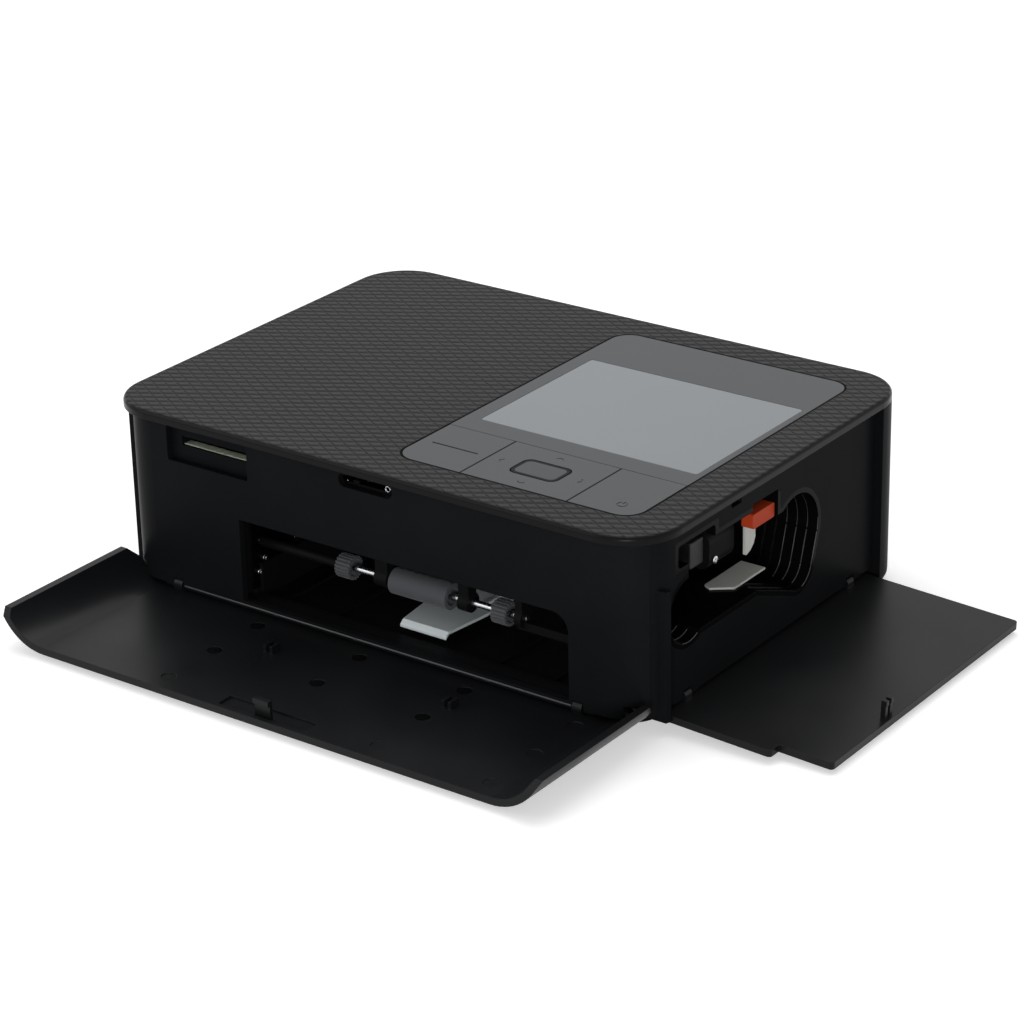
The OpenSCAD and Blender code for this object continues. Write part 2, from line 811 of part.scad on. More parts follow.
module gear_plate() color(grey_c) {
    along_x(gear_plate_x, gear_plate_x + plate_t) difference() {
        plate_shape();
        for (at = [small_idler_at, large_idler_at])
            translate(at) circle(axle_r);
        translate(motor_at) circle(4);
        for (at = [pick_at, platen_at, feed_at, takeup_at])
            translate(at) circle(3.5);
    }
}

module gear_axles() color(steel_c) {
    for (at = [small_idler_at, large_idler_at])
        rod_x(gear_plate_x, left_x + plate_t, at, axle_r);
    // spacers that hold the two plates apart
    for (at = [[-52.5, 37], [35, 47]])
        rod_x(gear_plate_x + plate_t, left_x, at, 1.8);
}

module cross_bars() color(steel_c) {
    for (at = bar_at)
        rod_x(left_x, right_x + plate_t, at, bar_r);
}

// Ribbon bay: two troughs for the ribbon's spools, and a stepped mouth in the side wall

trough_t = 1.2;
front_trough_r = front_lobe_r - 1.5;
mouth_x0 = right_x + plate_t;
steps = 7;
step_x = (recess_x - mouth_x0) / steps;

module troughs_outline(d) {
    translate(supply_at) circle(supply_r + d);
    translate(front_lobe_at) circle(front_trough_r + d);
}

// Room for the head and its arm to swing between the spools
module head_window() {
    round_rect([-38, sill_z], [1, 47], 2);
}

module ribbon_bay() color(gloss_c) difference() {
    union() {
        // troughs, open towards each other and over the supply spool
        along_x(left_x + plate_t, mouth_x0 + bite) difference() {
            troughs_outline(trough_t);
            troughs_outline(0);
            translate([-38, 0]) square([40, body_h]);
            translate([1, 40]) square([30, body_h]);
        }
        // the wall at the back of the mouth
        along_x(mouth_x0, mouth_x0 + 1.5) difference() {
            mouth_lobes(1.5);
            troughs_outline(0);
            head_window();
        }
        // the mouth widens in steps towards the side wall
        intersection() {
            for (i = [0 : steps - 1])
                along_x(mouth_x0 + i * step_x, mouth_x0 + (i + 1) * step_x + (i < steps - 1 ? bite : 0))
                    difference() {
                        mouth_lobes(1.5);
                        mouth_lobes(1.4 * (i / (steps - 1) - 1));
                    }
            along_z(0, top_z) case_outline();
        }
        lever_posts();
    }
    difference() {
        block(lever_room[0] + [2.8, 0, 0], lever_room[1]);
        lever_posts();
    }
    rod_y(post_y[0] - 1, post_y[1] + 3, lever_pivot, lever_pin_r + running);
}

lever_pivot = [70.6, 44.6];
lever_pin_r = 1;
post_y = [-12.4, -3.2];

module lever_posts() {
    for (y = post_y)
        block([mouth_x0 + bite, y, lever_pivot.y - 1.6], [lever_pivot.x + 1.8, y + 1.8, 48.3]);
}

// Pale strip that leads the cartridge in over the edge of the mouth
module bay_strip() color(nylon_c) {
    along_z(sill_z, sill_z + 0.6)
        polygon([[75.8, -16], [78, -17.2], [83.4, -13.2], [83.4, 2], [75.8, 2]]);
}

lever_y = [-11.4, -0.8];
lever_z = [41, 45.2];
lever_x = [84.2, 87.8];

module eject_lever() color(orange_c) {
    along_x(lever_x[0], lever_x[1])
        round_rect([lever_y[0], lever_z[0]], [lever_y[1], lever_z[1]], 0.6);
    block([lever_pivot.x - 1, -9.8, lever_pivot.y - 0.9], [lever_x[0] + bite, -4, lever_pivot.y + 0.5]);
    rod_y(post_y[0] + 0.4, post_y[1] + 1.4, lever_pivot, lever_pin_r);
}

module latch_blade() color(nylon_c) {
    along_x(lever_x[0] + 0.2, lever_x[0] + 1)
        polygon([[-10.9, 41], [-6, 41], [-6, 36.5], [-6.8, 34.8], [-8.4, 33.4], [-10.4, 32.7], [-10.9, 33]]);
}

// Gears, all on the left of the frame

pressure = 25;
backlash = 0.2;
addendum = 0.8 * gear_module;
dedendum = 1.1 * gear_module;

function involute(c) = tan(c) * 180 / PI - c;

// Half the angle that a tooth spans at radius r
function tooth_half(teeth, r) =
    let (c = acos(min(1, pitch_r(teeth) * cos(pressure) / r)))
    90 / teeth - backlash / 4 / pitch_r(teeth) * 180 / PI + involute(pressure) - involute(c);

module toothed(teeth) {
    base = pitch_r(teeth) * cos(pressure);
    low = pitch_r(teeth) - dedendum;
    high = pitch_r(teeth) + addendum;
    first = max(low + 0.1, base);
    radii = [low, first, (first + high) / 2, high];
    half = [for (r = radii) tooth_half(teeth, max(r, base))];
    polygon([for (i = [0 : teeth - 1], j = [0 : 7])
        let (k = j < 4 ? j : 7 - j, a = 360 / teeth * i + (j < 4 ? -1 : 1) * half[k])
        radii[k] * [cos(a), sin(a)]]);
}

module gear(teeth, at, turn, bore, hub) {
    along_x(gear_x, gear_x + gear_t) translate(at) difference() {
        rotate(turn) toothed(teeth);
        circle(bore);
    }
    along_x(gear_x - 0.8, gear_x + bite) translate(at) difference() {
        circle(hub);
        circle(bore);
    }
}

// How far gear b is turned so that its teeth fit between those of gear a
function meshed(turn, a, b, teeth_a, teeth_b) = let (d = direction(a, b))
    d + 180 - teeth_a / teeth_b * (turn - d) - 180 / teeth_b;

platen_turn = 0;
small_turn = meshed(platen_turn, platen_at, small_idler_at, platen_teeth, small_idler_teeth);
large_turn = meshed(platen_turn, platen_at, large_idler_at, platen_teeth, large_idler_teeth);
pick_turn = meshed(small_turn, small_idler_at, pick_at, small_idler_teeth, pick_teeth);
takeup_phase = meshed(small_turn, small_idler_at, takeup_at, small_idler_teeth, takeup_teeth);
feed_turn = meshed(large_turn, large_idler_at, feed_at, large_idler_teeth, feed_teeth);
pinion_phase = meshed(large_turn, large_idler_at, motor_at, large_idler_teeth, pinion_teeth);

module platen_gear() color(nylon_c)
    gear(platen_teeth, platen_at, platen_turn, shaft_r, 4);

module small_idler_gear() color(nylon_c)
    gear(small_idler_teeth, small_idler_at, small_turn, axle_r + running, 3);

module large_idler_gear() color(nylon_c)
    gear(large_idler_teeth, large_idler_at, large_turn, axle_r + running, 3);

module pickup_gear() color(nylon_c)
    gear(pick_teeth, pick_at, pick_turn, pick_shaft_r, 2.8);

module takeup_gear() color(nylon_c)
    gear(takeup_teeth, takeup_at, takeup_phase, shaft_r, 3.5);

module feed_gear() color(nylon_c)
    gear(feed_teeth, feed_at, feed_turn, shaft_r, 3.4);

motor_shaft_r = 1;
motor_r = 12;
motor_x = -80;

module motor_pinion() color(steel_c) {
    gear(pinion_teeth, motor_at, pinion_phase, 0.5, 2.6);
    rod_x(gear_plate_x - 8, gear_x + gear_t, motor_at, motor_shaft_r);
}

module feed_motor() color(grey_c) difference() {
    union() {
        rod_x(motor_x, gear_plate_x, motor_at, motor_r);
        rod_x(gear_plate_x - bite, gear_plate_x + plate_t, motor_at, 3.6);
        for (turn = [20, 200])
            along_x(gear_plate_x - 1, gear_plate_x) translate(motor_at) rotate(turn)
                round_rect([0, -3.5], [motor_r + 4, 3.5], 3.4);
    }
    rod_x(gear_plate_x - 8.4, gear_plate_x + plate_t + 1, motor_at, motor_shaft_r + running);
}

// Paper pick-up

pick_spans = [[-16.3, -11.6], [2.3, 21.3], [36, 40.7]];
bearing_spans = [[-3.3, 0.9], [24.7, 28], [43.2, 45.4]];
bearing_r = 2.8;
pick_end_x = 46;
wheel_r = pick_r - 0.3;

module pickup_shaft() color(steel_c) rod_x(gear_x, pick_end_x, pick_at, pick_shaft_r);

// A smooth roller in the middle and a ribbed wheel on each side of it
module pickup_rollers() color(rubber_c) difference() {
    union() {
        rod_x(pick_spans[1][0], pick_spans[1][1], pick_at, pick_r);
        for (s = [pick_spans[0], pick_spans[2]]) {
            rod_x(s[0], s[1], pick_at, wheel_r - 0.35);
            along_x(s[0], s[1]) translate(pick_at) for (i = [0 : 19])
                rotate(18 * i) translate([wheel_r - 1, -0.25]) square([1, 0.5]);
        }
    }
    rod_x(gear_x, pick_end_x, pick_at, pick_shaft_r);
    for (s = pick_spans)
        rod_x(s[1] - 0.9, s[1] + 1, pick_at, wheel_r - 0.9);
}

// Bushes on arms that hang from the bay's front trough
module shaft_bearings() color(shell_c) difference() {
    union() {
        for (s = bearing_spans) {
            rod_x(s[0], s[1], pick_at, bearing_r);
            block([s[0], pick_at.x - 2, pick_at.y], [s[1], pick_at.x + 1.6, 33]);
            block([s[0], pick_at.x - 2, 29], [s[1], front_lobe_at.x - 4, 33]);
        }
        // stay between the last bush and the frame
        block([bearing_spans[2][0], pick_at.x - 1, pick_at.y - 3.2], [right_x - 0.3, pick_at.x + 1, pick_at.y - 0.8]);
    }
    rod_x(bearing_spans[0][0] - 1, bearing_spans[2][1] + 1, pick_at, pick_shaft_r + running);
    rod_x(bearing_spans[0][0] - 1, bearing_spans[2][1] + 1, front_lobe_at, front_trough_r + trough_t);
}

guide_y = [-55.9, -13];
guide_t = 1.4;
lift_pivot = [-15, 8.2];
lift_pin_r = 1;
lift_x = [paper_cx - 11.2, paper_cx + 11.2];

module paper_guide() color(shell_c) difference() {
    union() {
        block([mouth_x[0] - 0.6, guide_y[0], floor_z], [mouth_x[1] + 0.7, guide_y[1], floor_z + guide_t]);
        for (x = [mouth_x[0] - 0.6, mouth_x[1] - 0.4])
            block([x, guide_y[0], floor_z], [x + 1.1, guide_y[1], 15]);
        for (x = [lift_x[0] - 1.7, lift_x[1]]) {
            block([x, lift_pivot.x - 2, floor_z], [x + 1.7, lift_pivot.x + 2, lift_pivot.y]);
            rod_x(x, x + 1.7, lift_pivot, 2);
        }
        for (x = [mouth_x[0] + 8 : 18 : mouth_x[1] - 8])
            if (x < lift_x[0] - 2 || x > lift_x[1] + 2)
                block([x - 0.6, guide_y[0], floor_z], [x + 0.6, guide_y[1], floor_z + guide_t + 0.7]);
    }
    rod_x(lift_x[0] - 2, lift_x[1] + 2, lift_pivot, lift_pin_r + running);
}

lift_w = [15.5, 19.2];

// The sprung tongue that presses the paper up against the pick-up roller
module lift_plate() color(steel_c) {
    along_z(8.65, 9.45) translate([paper_cx, 0])
        polygon([[-lift_w[0] / 2, -52.8], [lift_w[0] / 2, -52.8], [lift_w[1] / 2, -38],
            [lift_w[1] / 2, lift_pivot.x], [-lift_w[1] / 2, lift_pivot.x], [-lift_w[1] / 2, -38]]);
    along_x(paper_cx - lift_w[0] / 2, paper_cx + lift_w[0] / 2)
        polygon([[-52.79, 9.45], [-54.2, 8.3], [-54.2, 7.5], [-52.79, 8.65]]);
    rod_x(lift_x[0] - 1.5, lift_x[1] + 1.5, lift_pivot, lift_pin_r);
    for (x = [-6, 6])
        block([paper_cx + x - 0.5, -36, 9.4], [paper_cx + x + 0.5, -20, 10]);
}

// Rollers behind the mouth

platen_x = [-40, 61];
feed_x = [-44, 65];
shaft_end_x = right_x + plate_t + 1;

module platen_shaft() color(steel_c) rod_x(gear_x, shaft_end_x, platen_at, shaft_r);

module platen_roller() color(rubber_c) difference() {
    rod_x(platen_x[0], platen_x[1], platen_at, platen_r);
    rod_x(gear_x, shaft_end_x, platen_at, shaft_r);
}

module feed_roller() color(steel_c) {
    rod_x(feed_x[0], feed_x[1], feed_at, feed_r);
    rod_x(gear_x, shaft_end_x, feed_at, shaft_r);
}

module pinch_roller() color(steel_c) {
    rod_x(platen_x[0], platen_x[1], pinch_at, pinch_r);
    rod_x(feed_x[0], feed_x[1], pinch_at, pinch_journal_r);
}

module pinch_holder() color(shell_c) difference() {
    union() {
        for (x = [left_x + plate_t, right_x - 2])
            block([x, pinch_at.x - 3, 22.9], [x + 2, pinch_at.x + 3, 31]);
        block([left_x + plate_t, pinch_at.x - 3, 28.6], [right_x, pinch_at.x + 3, 31]);
    }
    rod_x(feed_x[0] - 0.3, feed_x[1] + 0.3, pinch_at, pinch_journal_r + running);
}

// Ribbon drive and print head

spindle_x = -36;

module spindle(at) {
    rod_x(left_x + plate_t + 0.8, spindle_x, at, 3.4);
    for (turn = [0, 120, 240])
        along_x(left_x + plate_t + 2.2, spindle_x - 1) translate(at) rotate(turn)
            translate([0, -0.6]) square([4.6, 1.2]);
}

module takeup_spindle() color(nylon_c) {
    rod_x(gear_x, spindle_x, takeup_at, shaft_r);
    spindle(takeup_at);
}

module supply_spindle() color(nylon_c) {
    rod_x(left_x - 0.6, spindle_x, supply_at, shaft_r);
    spindle(supply_at);
}

module head_shaft() color(steel_c)
    rod_x(left_x, right_x + plate_t, head_pivot, shaft_r);

arm_x = [left_x + 2.7, right_x - 1.5];
arm_z = [48.6, 49.6];
sink_x = [-40, 62];

module head_arm() color(steel_c) difference() {
    union() {
        block([arm_x[0], -26, arm_z[0]], [arm_x[1], head_pivot.x, arm_z[1]]);
        for (x = [arm_x[0], arm_x[1] - 2])
            rod_x(x, x + 2, head_pivot, 3.4);
    }
    rod_x(left_x, right_x, head_pivot, shaft_r + running);
    block([arm_x[0] + 2, head_pivot.x - 3, 40], [arm_x[1] - 2, head_pivot.x + 4, 52]);
    // openings that lighten the arm
    for (x = [-24, 6, 36])
        along_z(arm_z[0] - 1, arm_z[1] + 1) round_rect([x, -6], [x + 18, 18], 3);
}

module heat_sink() color(steel_c) difference() {
    block([sink_x[0], -25.5, 34], [sink_x[1], -13, arm_z[0]]);
    for (i = [0 : 2])
        block([sink_x[0] - 1, -18, 37 + 3.4 * i], [sink_x[1] + 1, -12, 38.8 + 3.4 * i]);
}

module thermal_head() color(nylon_c) {
    block([sink_x[0], -24, 31.3], [sink_x[1], -16, 34]);
    block([sink_x[0] + 1, -22.9, 31.05], [sink_x[1] - 1, -22.1, 31.3 + bite]);
}

module head_end_cap() color(gloss_c) difference() {
    along_y(-25, -13) {
        round_rect([sink_x[1], 33], [83, 43.6], 3);
        translate([sink_x[1], 33]) square([6, 10.6]);
    }
    block([sink_x[1] + 3, -26, 36], [80, -23.5, 41]);
}

// Electronics

wall_x = -half_w + wall;

module main_board() color(board_c) {
    block([-84, -45, 10], [-82.4, 48, 46]);
    for (y = [-34, 44], z = [14, 42])
        rod_x(wall_x, -83.9, [y, z], 2);
    for (c = [[-30, 14, 14, 14], [-10, 22, 9, 12], [-36, 34, 8, 6]])
        block([-82.41, c[0], c[1]], [-81, c[0] + c[2], c[1] + c[3]]);
}

reader_y = [-half_d + inset + wall, -36];

module card_reader() color(grey_c) difference() {
    block([card_lo.x - 1, reader_y[0], card_lo.y - 1], [card_hi.x + 1, reader_y[1], top_z - 1.1]);
    block([card_lo.x + 3.7, reader_y[0] - 1, 48], [card_hi.x - 1.3, reader_y[1] - 1, 50.6]);
}

module usb_port() color(steel_c) difference() {
    union() {
        along_x(-half_w + 0.5, wall_x + bite)
            round_rect([usb_at.x - 4.3, usb_at.y - 1.4], [usb_at.x + 4.3, usb_at.y + 1.4], 1.3);
        block([wall_x, usb_at.x - 5, usb_at.y - 2.2], [-84, usb_at.x + 5, usb_at.y + 2.2]);
    }
    along_x(-half_w, -86)
        round_rect([usb_at.x - 3.9, usb_at.y - 1], [usb_at.x + 3.9, usb_at.y + 1], 0.9);
    block([-half_w, usb_at.x - 3, usb_at.y + 0.2], [-85.4, usb_at.x + 3, usb_at.y + 0.9]);
}

module dc_inlet() color(shell_c) {
    difference() {
        block([dc_at.x - 6, 52, dc_at.y - 6], [dc_at.x + 6, half_d - wall, dc_at.y + 6]);
        rod_y(54, half_d, dc_at, 2.8);
    }
    rod_y(53.9, 63, dc_at, 0.8);
}

fan_r = 13.2;
fan_y = [54.3, half_d - wall];

module fan_frame() color(shell_c) {
    difference() {
        block([fan_at.x - 15, fan_y[0], fan_at.y - 15], [fan_at.x + 15, fan_y[1], fan_at.y + 15]);
        rod_y(fan_y[0] - 1, fan_y[1] + 1, fan_at, fan_r);
        for (x = [-1, 1], z = [-1, 1])
            rod_y(fan_y[0] - 1, fan_y[1] + 1, fan_at + [x * 12.5, z * 12.5], 1.2);
    }
    for (turn = [45, 135])
        translate([fan_at.x, 0, fan_at.y]) rotate([0, turn, 0])
            block([-fan_r - 0.5, fan_y[0], -0.8], [fan_r + 0.5, fan_y[0] + 1.4, 0.8]);
    rod_y(fan_y[0], fan_y[0] + 1.4, fan_at, 5);
    rod_y(fan_y[0], fan_y[1] - 1.6, fan_at, 0.8);
}

module fan_rotor() color(shell_c) difference() {
    union() {
        rod_y(fan_y[0] + 1.8, fan_y[1] - 0.8, fan_at, 4.8);
        for (i = [0 : 6])
            translate([fan_at.x, (fan_y[0] + fan_y[1]) / 2 + 0.6, fan_at.y]) rotate([0, i * 360 / 7, 0])
                rotate([0, 0, 38]) translate([-2.6, -0.5, 4]) cube([5.2, 1, 8.6]);
    }
    rod_y(fan_y[0], fan_y[1] - 1.4, fan_at, 0.85);
}

top_cover();
main_case();
front_panel();
base_tray();
rubber_feet();
case_screws();
control_panel();
display_window();
lcd_module();
key_board();
menu_back_key();
print_power_key();
pad_gimbal();
navigation_pad();
ok_button();
front_cover();
front_hinge_pins();
side_cover();
side_hinge_pins();
left_frame_plate();
right_frame_plate();
gear_plate();
gear_axles();
cross_bars();
paper_guide();
ribbon_bay();
bay_strip();
pickup_shaft();
pickup_rollers();
pickup_gear();
shaft_bearings();
lift_plate();
platen_shaft();
platen_roller();
platen_gear();
feed_roller();
feed_gear();
pinch_roller();
pinch_holder();
small_idler_gear();
large_idler_gear();
motor_pinion();
feed_motor();
takeup_spindle();
takeup_gear();
supply_spindle();
head_shaft();
head_arm();
heat_sink();
thermal_head();
head_end_cap();
eject_lever();
latch_blade();
main_board();
card_reader();
dc_inlet();
usb_port();
fan_frame();
fan_rotor();
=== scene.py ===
"""Compact photo printer: its finishes, the small fittings that its solids lack, and the stage."""

import math

import bmesh
import bpy
from mathutils import Euler, Matrix, Vector


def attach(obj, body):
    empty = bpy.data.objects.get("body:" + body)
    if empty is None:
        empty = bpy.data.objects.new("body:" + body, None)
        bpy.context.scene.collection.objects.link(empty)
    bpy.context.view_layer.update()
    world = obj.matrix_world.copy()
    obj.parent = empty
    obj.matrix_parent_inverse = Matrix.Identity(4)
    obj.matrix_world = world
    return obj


bl_info = {
    "name": "Compact photo printer",
    "version": (1, 0, 0),
    "blender": (4, 5, 0),
    "location": "3D View > Sidebar > Printer",
    "description": "Finishes the compact photo printer and sets its stage",
    "category": "Object",
}

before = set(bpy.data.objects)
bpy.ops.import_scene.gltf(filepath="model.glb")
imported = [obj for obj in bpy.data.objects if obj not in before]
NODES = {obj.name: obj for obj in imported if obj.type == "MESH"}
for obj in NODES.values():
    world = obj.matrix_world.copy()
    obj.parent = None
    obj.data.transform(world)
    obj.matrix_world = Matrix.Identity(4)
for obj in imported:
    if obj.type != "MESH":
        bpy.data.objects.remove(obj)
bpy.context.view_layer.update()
MM = 0.001
# Heights that differ by less than this are level (metres)
LEVEL = 1e-7

# Turns of round pieces (radians), and the direction, seen from the right, in which the straight
# flank of the bay's rear lobe looks (degrees from the back)
ALONG_X = (0.0, math.pi / 2, 0.0)
TO_FRONT = (math.pi / 2, 0.0, 0.0)
HEEL_TURN = -17.6

# Rounded rectangles and lines seen from above (mm): the middle, and half the size of the core
PANEL = ((40.2, 0.65), (32.2, 48.25))
CENTRE_KEY = ((41.0, -41.0), (4.7, 2.1))
LEFT_SLIT = ((24.0, -41.0), (0.05, 12.3))
RIGHT_SLIT = ((58.0, -41.0), (0.05, 12.3))
MENU_BAR = ((13.0, -41.0), (7.3, 0.05))

# Where one finish turns into another, or a painted shadow ends (mm): the first and the last point
# of the change
TOP_EDGE = (57.35, 57.57)
# the next three end painted shadows: round the panel, along the centre key's edge, along the slits
PANEL_GROOVE_SHADOW = (6.5, 6.7)
KEY_EDGE_SHADOW = (1.7, 1.8)
SLIT_SHADOW = (0.22, 0.3)

# Corners in mm of the small blocks: the low one and the high one
LATCH_BAR = ((-8.6, -61.5, 48.9), (7.4, -60.7, 50.6))
LATCH_STOP = ((-5.4, -61.6, 50.3), (-3.6, -60.6, 51.5))
GEAR_SHIELD = ((-46.2, -61.4, 7.4), (-45.3, -58.8, 31.0))
HEAD_GUARD = ((73.0, -31.5, 35.5), (81.5, -25.3, 43.0))
CONTACT_PLATE = ((-65.2, -61.2, 48.01), (-41.8, -58.3, 48.2))
FIRST_CONTACT = ((-64.6, -61.0, 48.15), (-62.6, -58.6, 48.3))
CONTACT_PITCH = 2.9
CONTACTS = 8

# Middles or first ends in mm of the round pieces
LATCH_RING = (6.0, -61.2, 51.3)
LATCH_PIN = (-7.7, -60.9, 50.6)
HINGE_BEAD = (-66.0, -64.0, 5.72)
HINGE_BEAD_LENGTH = 132.0
HINGE_STOPS_X = (-32.8, -5.1, 39.0)
HINGE_STOP = ((-0.7, -64.28, 5.3), (0.7, -63.9, 5.98))
FIRST_SINK = (-35.0, -69.4, 3.56)
SINK_HEIGHT = 0.12
OTHER_SINKS = ((-35.0, -87.4), (0.5, -69.4), (0.5, -87.4), (35.5, -69.4), (35.5, -87.4))
SHAFT_SLEEVE = (-44.6, -54.7, 21.5)
SHAFT_SLEEVE_LENGTH = 27.0
FRAME_SCREWS = ((-45.0, -53.7, 15.9), (-45.0, -56.1, 12.6))
CAP_SCREW = (83.0, -22.6, 35.6)
SCREW_HEIGHT = 0.5
# A screw's cross recess: length and width as shares of the head's radius, and twice its depth as a
# share of the head's height
RECESS = (1.1, 0.28, 0.9)

# The ribbon bay's mouth, seen from the right (mm): middle (Y, Z) and radius of each rounded part of
# its outermost step, and how far each further step lies inwards and how much smaller it is
REAR_LOBE = ((9.0, 32.5), 11.3)
HEEL = ((10.6, 22.0), 6.6)
FRONT_LOBE = ((-43.4, 30.8), 9.0)
FIRST_STEP_X = 88.62
STEP_PITCH = 3.07
STEP_SHRINK = 0.233
# Where the painted highlights on the step edges end (degrees from the back): each step's on the
# rear lobe, and all others
STEP_HIGHLIGHT_TO = (5, 48, 55, 20)
HEEL_HIGHLIGHT_FROM = -78
FRONT_HIGHLIGHT = (-112, -62)

# The stage: the lamps' aim (metres), how far the floor is lifted to white, short of the shadow,
# and the strength of the room's light
LAMPS_AIM = (0.0, 0.0, 0.03)
FLOOR_LIFT = 0.45
ROOM_LIGHT = 0.35

# The photograph's camera, fitted to edges and corners measured on it (degrees, metres, pixels):
# azimuth, elevation and roll, and the pixel at which the middle of the object lies
PHOTO_SIDE = 1024
SENSOR_WIDTH = 36.0
CAMERA_ANGLES = (36.4421, 23.8296, -1.2985)
CAMERA_DISTANCE = 0.9227262
FOCAL_PIXELS = 3291.0867
AIMED_AT = (0.0, 0.0, 0.0288)
AIM_PIXEL = (508.251, 485.4434)


# Colours and shader nodes

def linear(code):
    """Turns an sRGB hex value into the linear colour that the shaders mix."""
    parts = [int(code[i:i + 2], 16) / 255 for i in (1, 3, 5)]
    return (*(c / 12.92 if c <= 0.04045 else ((c + 0.055) / 1.055) ** 2.4 for c in parts), 1.0)


def shade(colour):
    """The linear value of a colour: a hex value, or the name of one of the user's colours."""
    if colour.startswith("#"):
        return linear(colour)
    return (*getattr(bpy.context.scene.printer_colours, colour), 1.0)


def cells(width):
    """The scale of a noise whose cells have a width in mm."""
    return 1 / (width * MM)


def put(tree, kind, wires=None, **settings):
    """Adds a shader node with its settings; wires gives inputs as values, nodes or sockets."""
    item = tree.nodes.new("ShaderNode" + kind)
    for key, value in settings.items():
        setattr(item, key, value)
    for key, value in (wires or {}).items():
        if isinstance(value, bpy.types.Node):
            value = value.outputs[0]
        if isinstance(value, bpy.types.NodeSocket):
            tree.links.new(value, item.inputs[key])
        else:
            item.inputs[key].default_value = value
    return item


def start(name, colour, roughness, **sockets):
    """A material with even values on its shader's own sockets, and its Object coordinates."""
    mat = bpy.data.materials.new(name)
    mat.use_nodes = True
    mat.diffuse_color = shade(colour)
    tree = mat.node_tree
    shader = tree.nodes["Principled BSDF"]
    shader.inputs["Base Color"].default_value = shade(colour)
    shader.inputs["Roughness"].default_value = roughness
    for key, value in sockets.items():
        shader.inputs[key].default_value = value
    where = put(tree, "TexCoord").outputs["Object"]
    return mat, tree, shader, where


def surface(tree, shader, colour, roughness, height, depth, edge=0.25):
    """Joins a colour, a roughness and a relief (depth in mm); edge (mm) rounds sharp edges off."""
    paint = colour.outputs[2] if colour.bl_idname == "ShaderNodeMix" else colour.outputs[0]
    tree.links.new(paint, shader.inputs["Base Color"])
    tree.links.new(roughness.outputs[0], shader.inputs["Roughness"])
    rounded = put(tree, "Bevel", {"Radius": edge * MM}, samples=4)
    normal = put(tree, "Bump", {"Height": height, "Distance": depth * MM, "Strength": 1.0,
                                "Normal": rounded})
    tree.links.new(normal.outputs[0], shader.inputs["Normal"])


def from_core(tree, split, middle, core):
    """Distance from a rectangle's core, seen from above: even all round the corners."""
    ways = []
    for way in (0, 1):
        off = put(tree, "Math", {0: split.outputs[way], 1: middle[way] * MM}, operation="SUBTRACT")
        off = put(tree, "Math", {0: off}, operation="ABSOLUTE")
        off = put(tree, "Math", {0: off, 1: core[way] * MM}, operation="SUBTRACT")
        ways.append(put(tree, "Math", {0: off, 1: 0.0}, operation="MAXIMUM"))
    both = put(tree, "CombineXYZ", {0: ways[0], 1: ways[1]})
    return put(tree, "VectorMath", {0: both}, operation="LENGTH").outputs["Value"]


def clouded(tree, where, width, detail, dark, light):
    """A colour that drifts between two tones in clouds (width in mm), and the noise behind it."""
    cloud = put(tree, "TexNoise", {"Vector": where, "Scale": cells(width), "Detail": detail})
    colour = put(tree, "Mix", {0: cloud, 6: shade(dark), 7: shade(light)}, data_type="RGBA")
    return colour, cloud


def moulded(name, dark, light, rough, grain=0.35, depth=0.012, haze=0.05, **sockets):
    """Moulded plastic: spark-eroded grain (mm), slight clouds of colour, hazy patches of wear."""
    mat, tree, shader, where = start(name, light, rough, **sockets)
    colour, _ = clouded(tree, where, 25, 3.0, dark, light)
    patch = put(tree, "TexNoise", {"Vector": where, "Scale": cells(40), "Detail": 4.0})
    rough_map = put(tree, "MapRange", {"Value": patch, "From Min": 0.3, "From Max": 0.7,
                                       "To Min": rough - haze, "To Max": rough + haze})
    fine = put(tree, "TexNoise", {"Vector": where, "Scale": cells(grain), "Detail": 2.0})
    surface(tree, shader, colour, rough_map, fine, depth)
    return mat


def satin_abs():
    """Black ABS of the case: a fine satin grain spreads its highlights into a soft sheen."""
    return moulded("satin_moulded_abs", "case_dark", "case_light", rough=0.36,
                   **{"IOR": 1.5, "Specular IOR Level": 0.012})


def front_abs_painted_light():
    """Black ABS of the front panel: the case's grain in a slightly paler tone, painted light for
    the light on the front.
    """
    return moulded("moulded_abs_painted_light", "case_dark", "front_painted_light", rough=0.38,
                   **{"IOR": 1.5, "Specular IOR Level": 0.02})


def cover_abs():
    """Black ABS of the covers: their inner face came off a smoother tool, so it shines more."""
    return moulded("smooth_moulded_abs", "cover_dark", "cover_light", rough=0.34, grain=0.5,
                   depth=0.015, haze=0.07, **{"IOR": 1.5, "Specular IOR Level": 0.13})


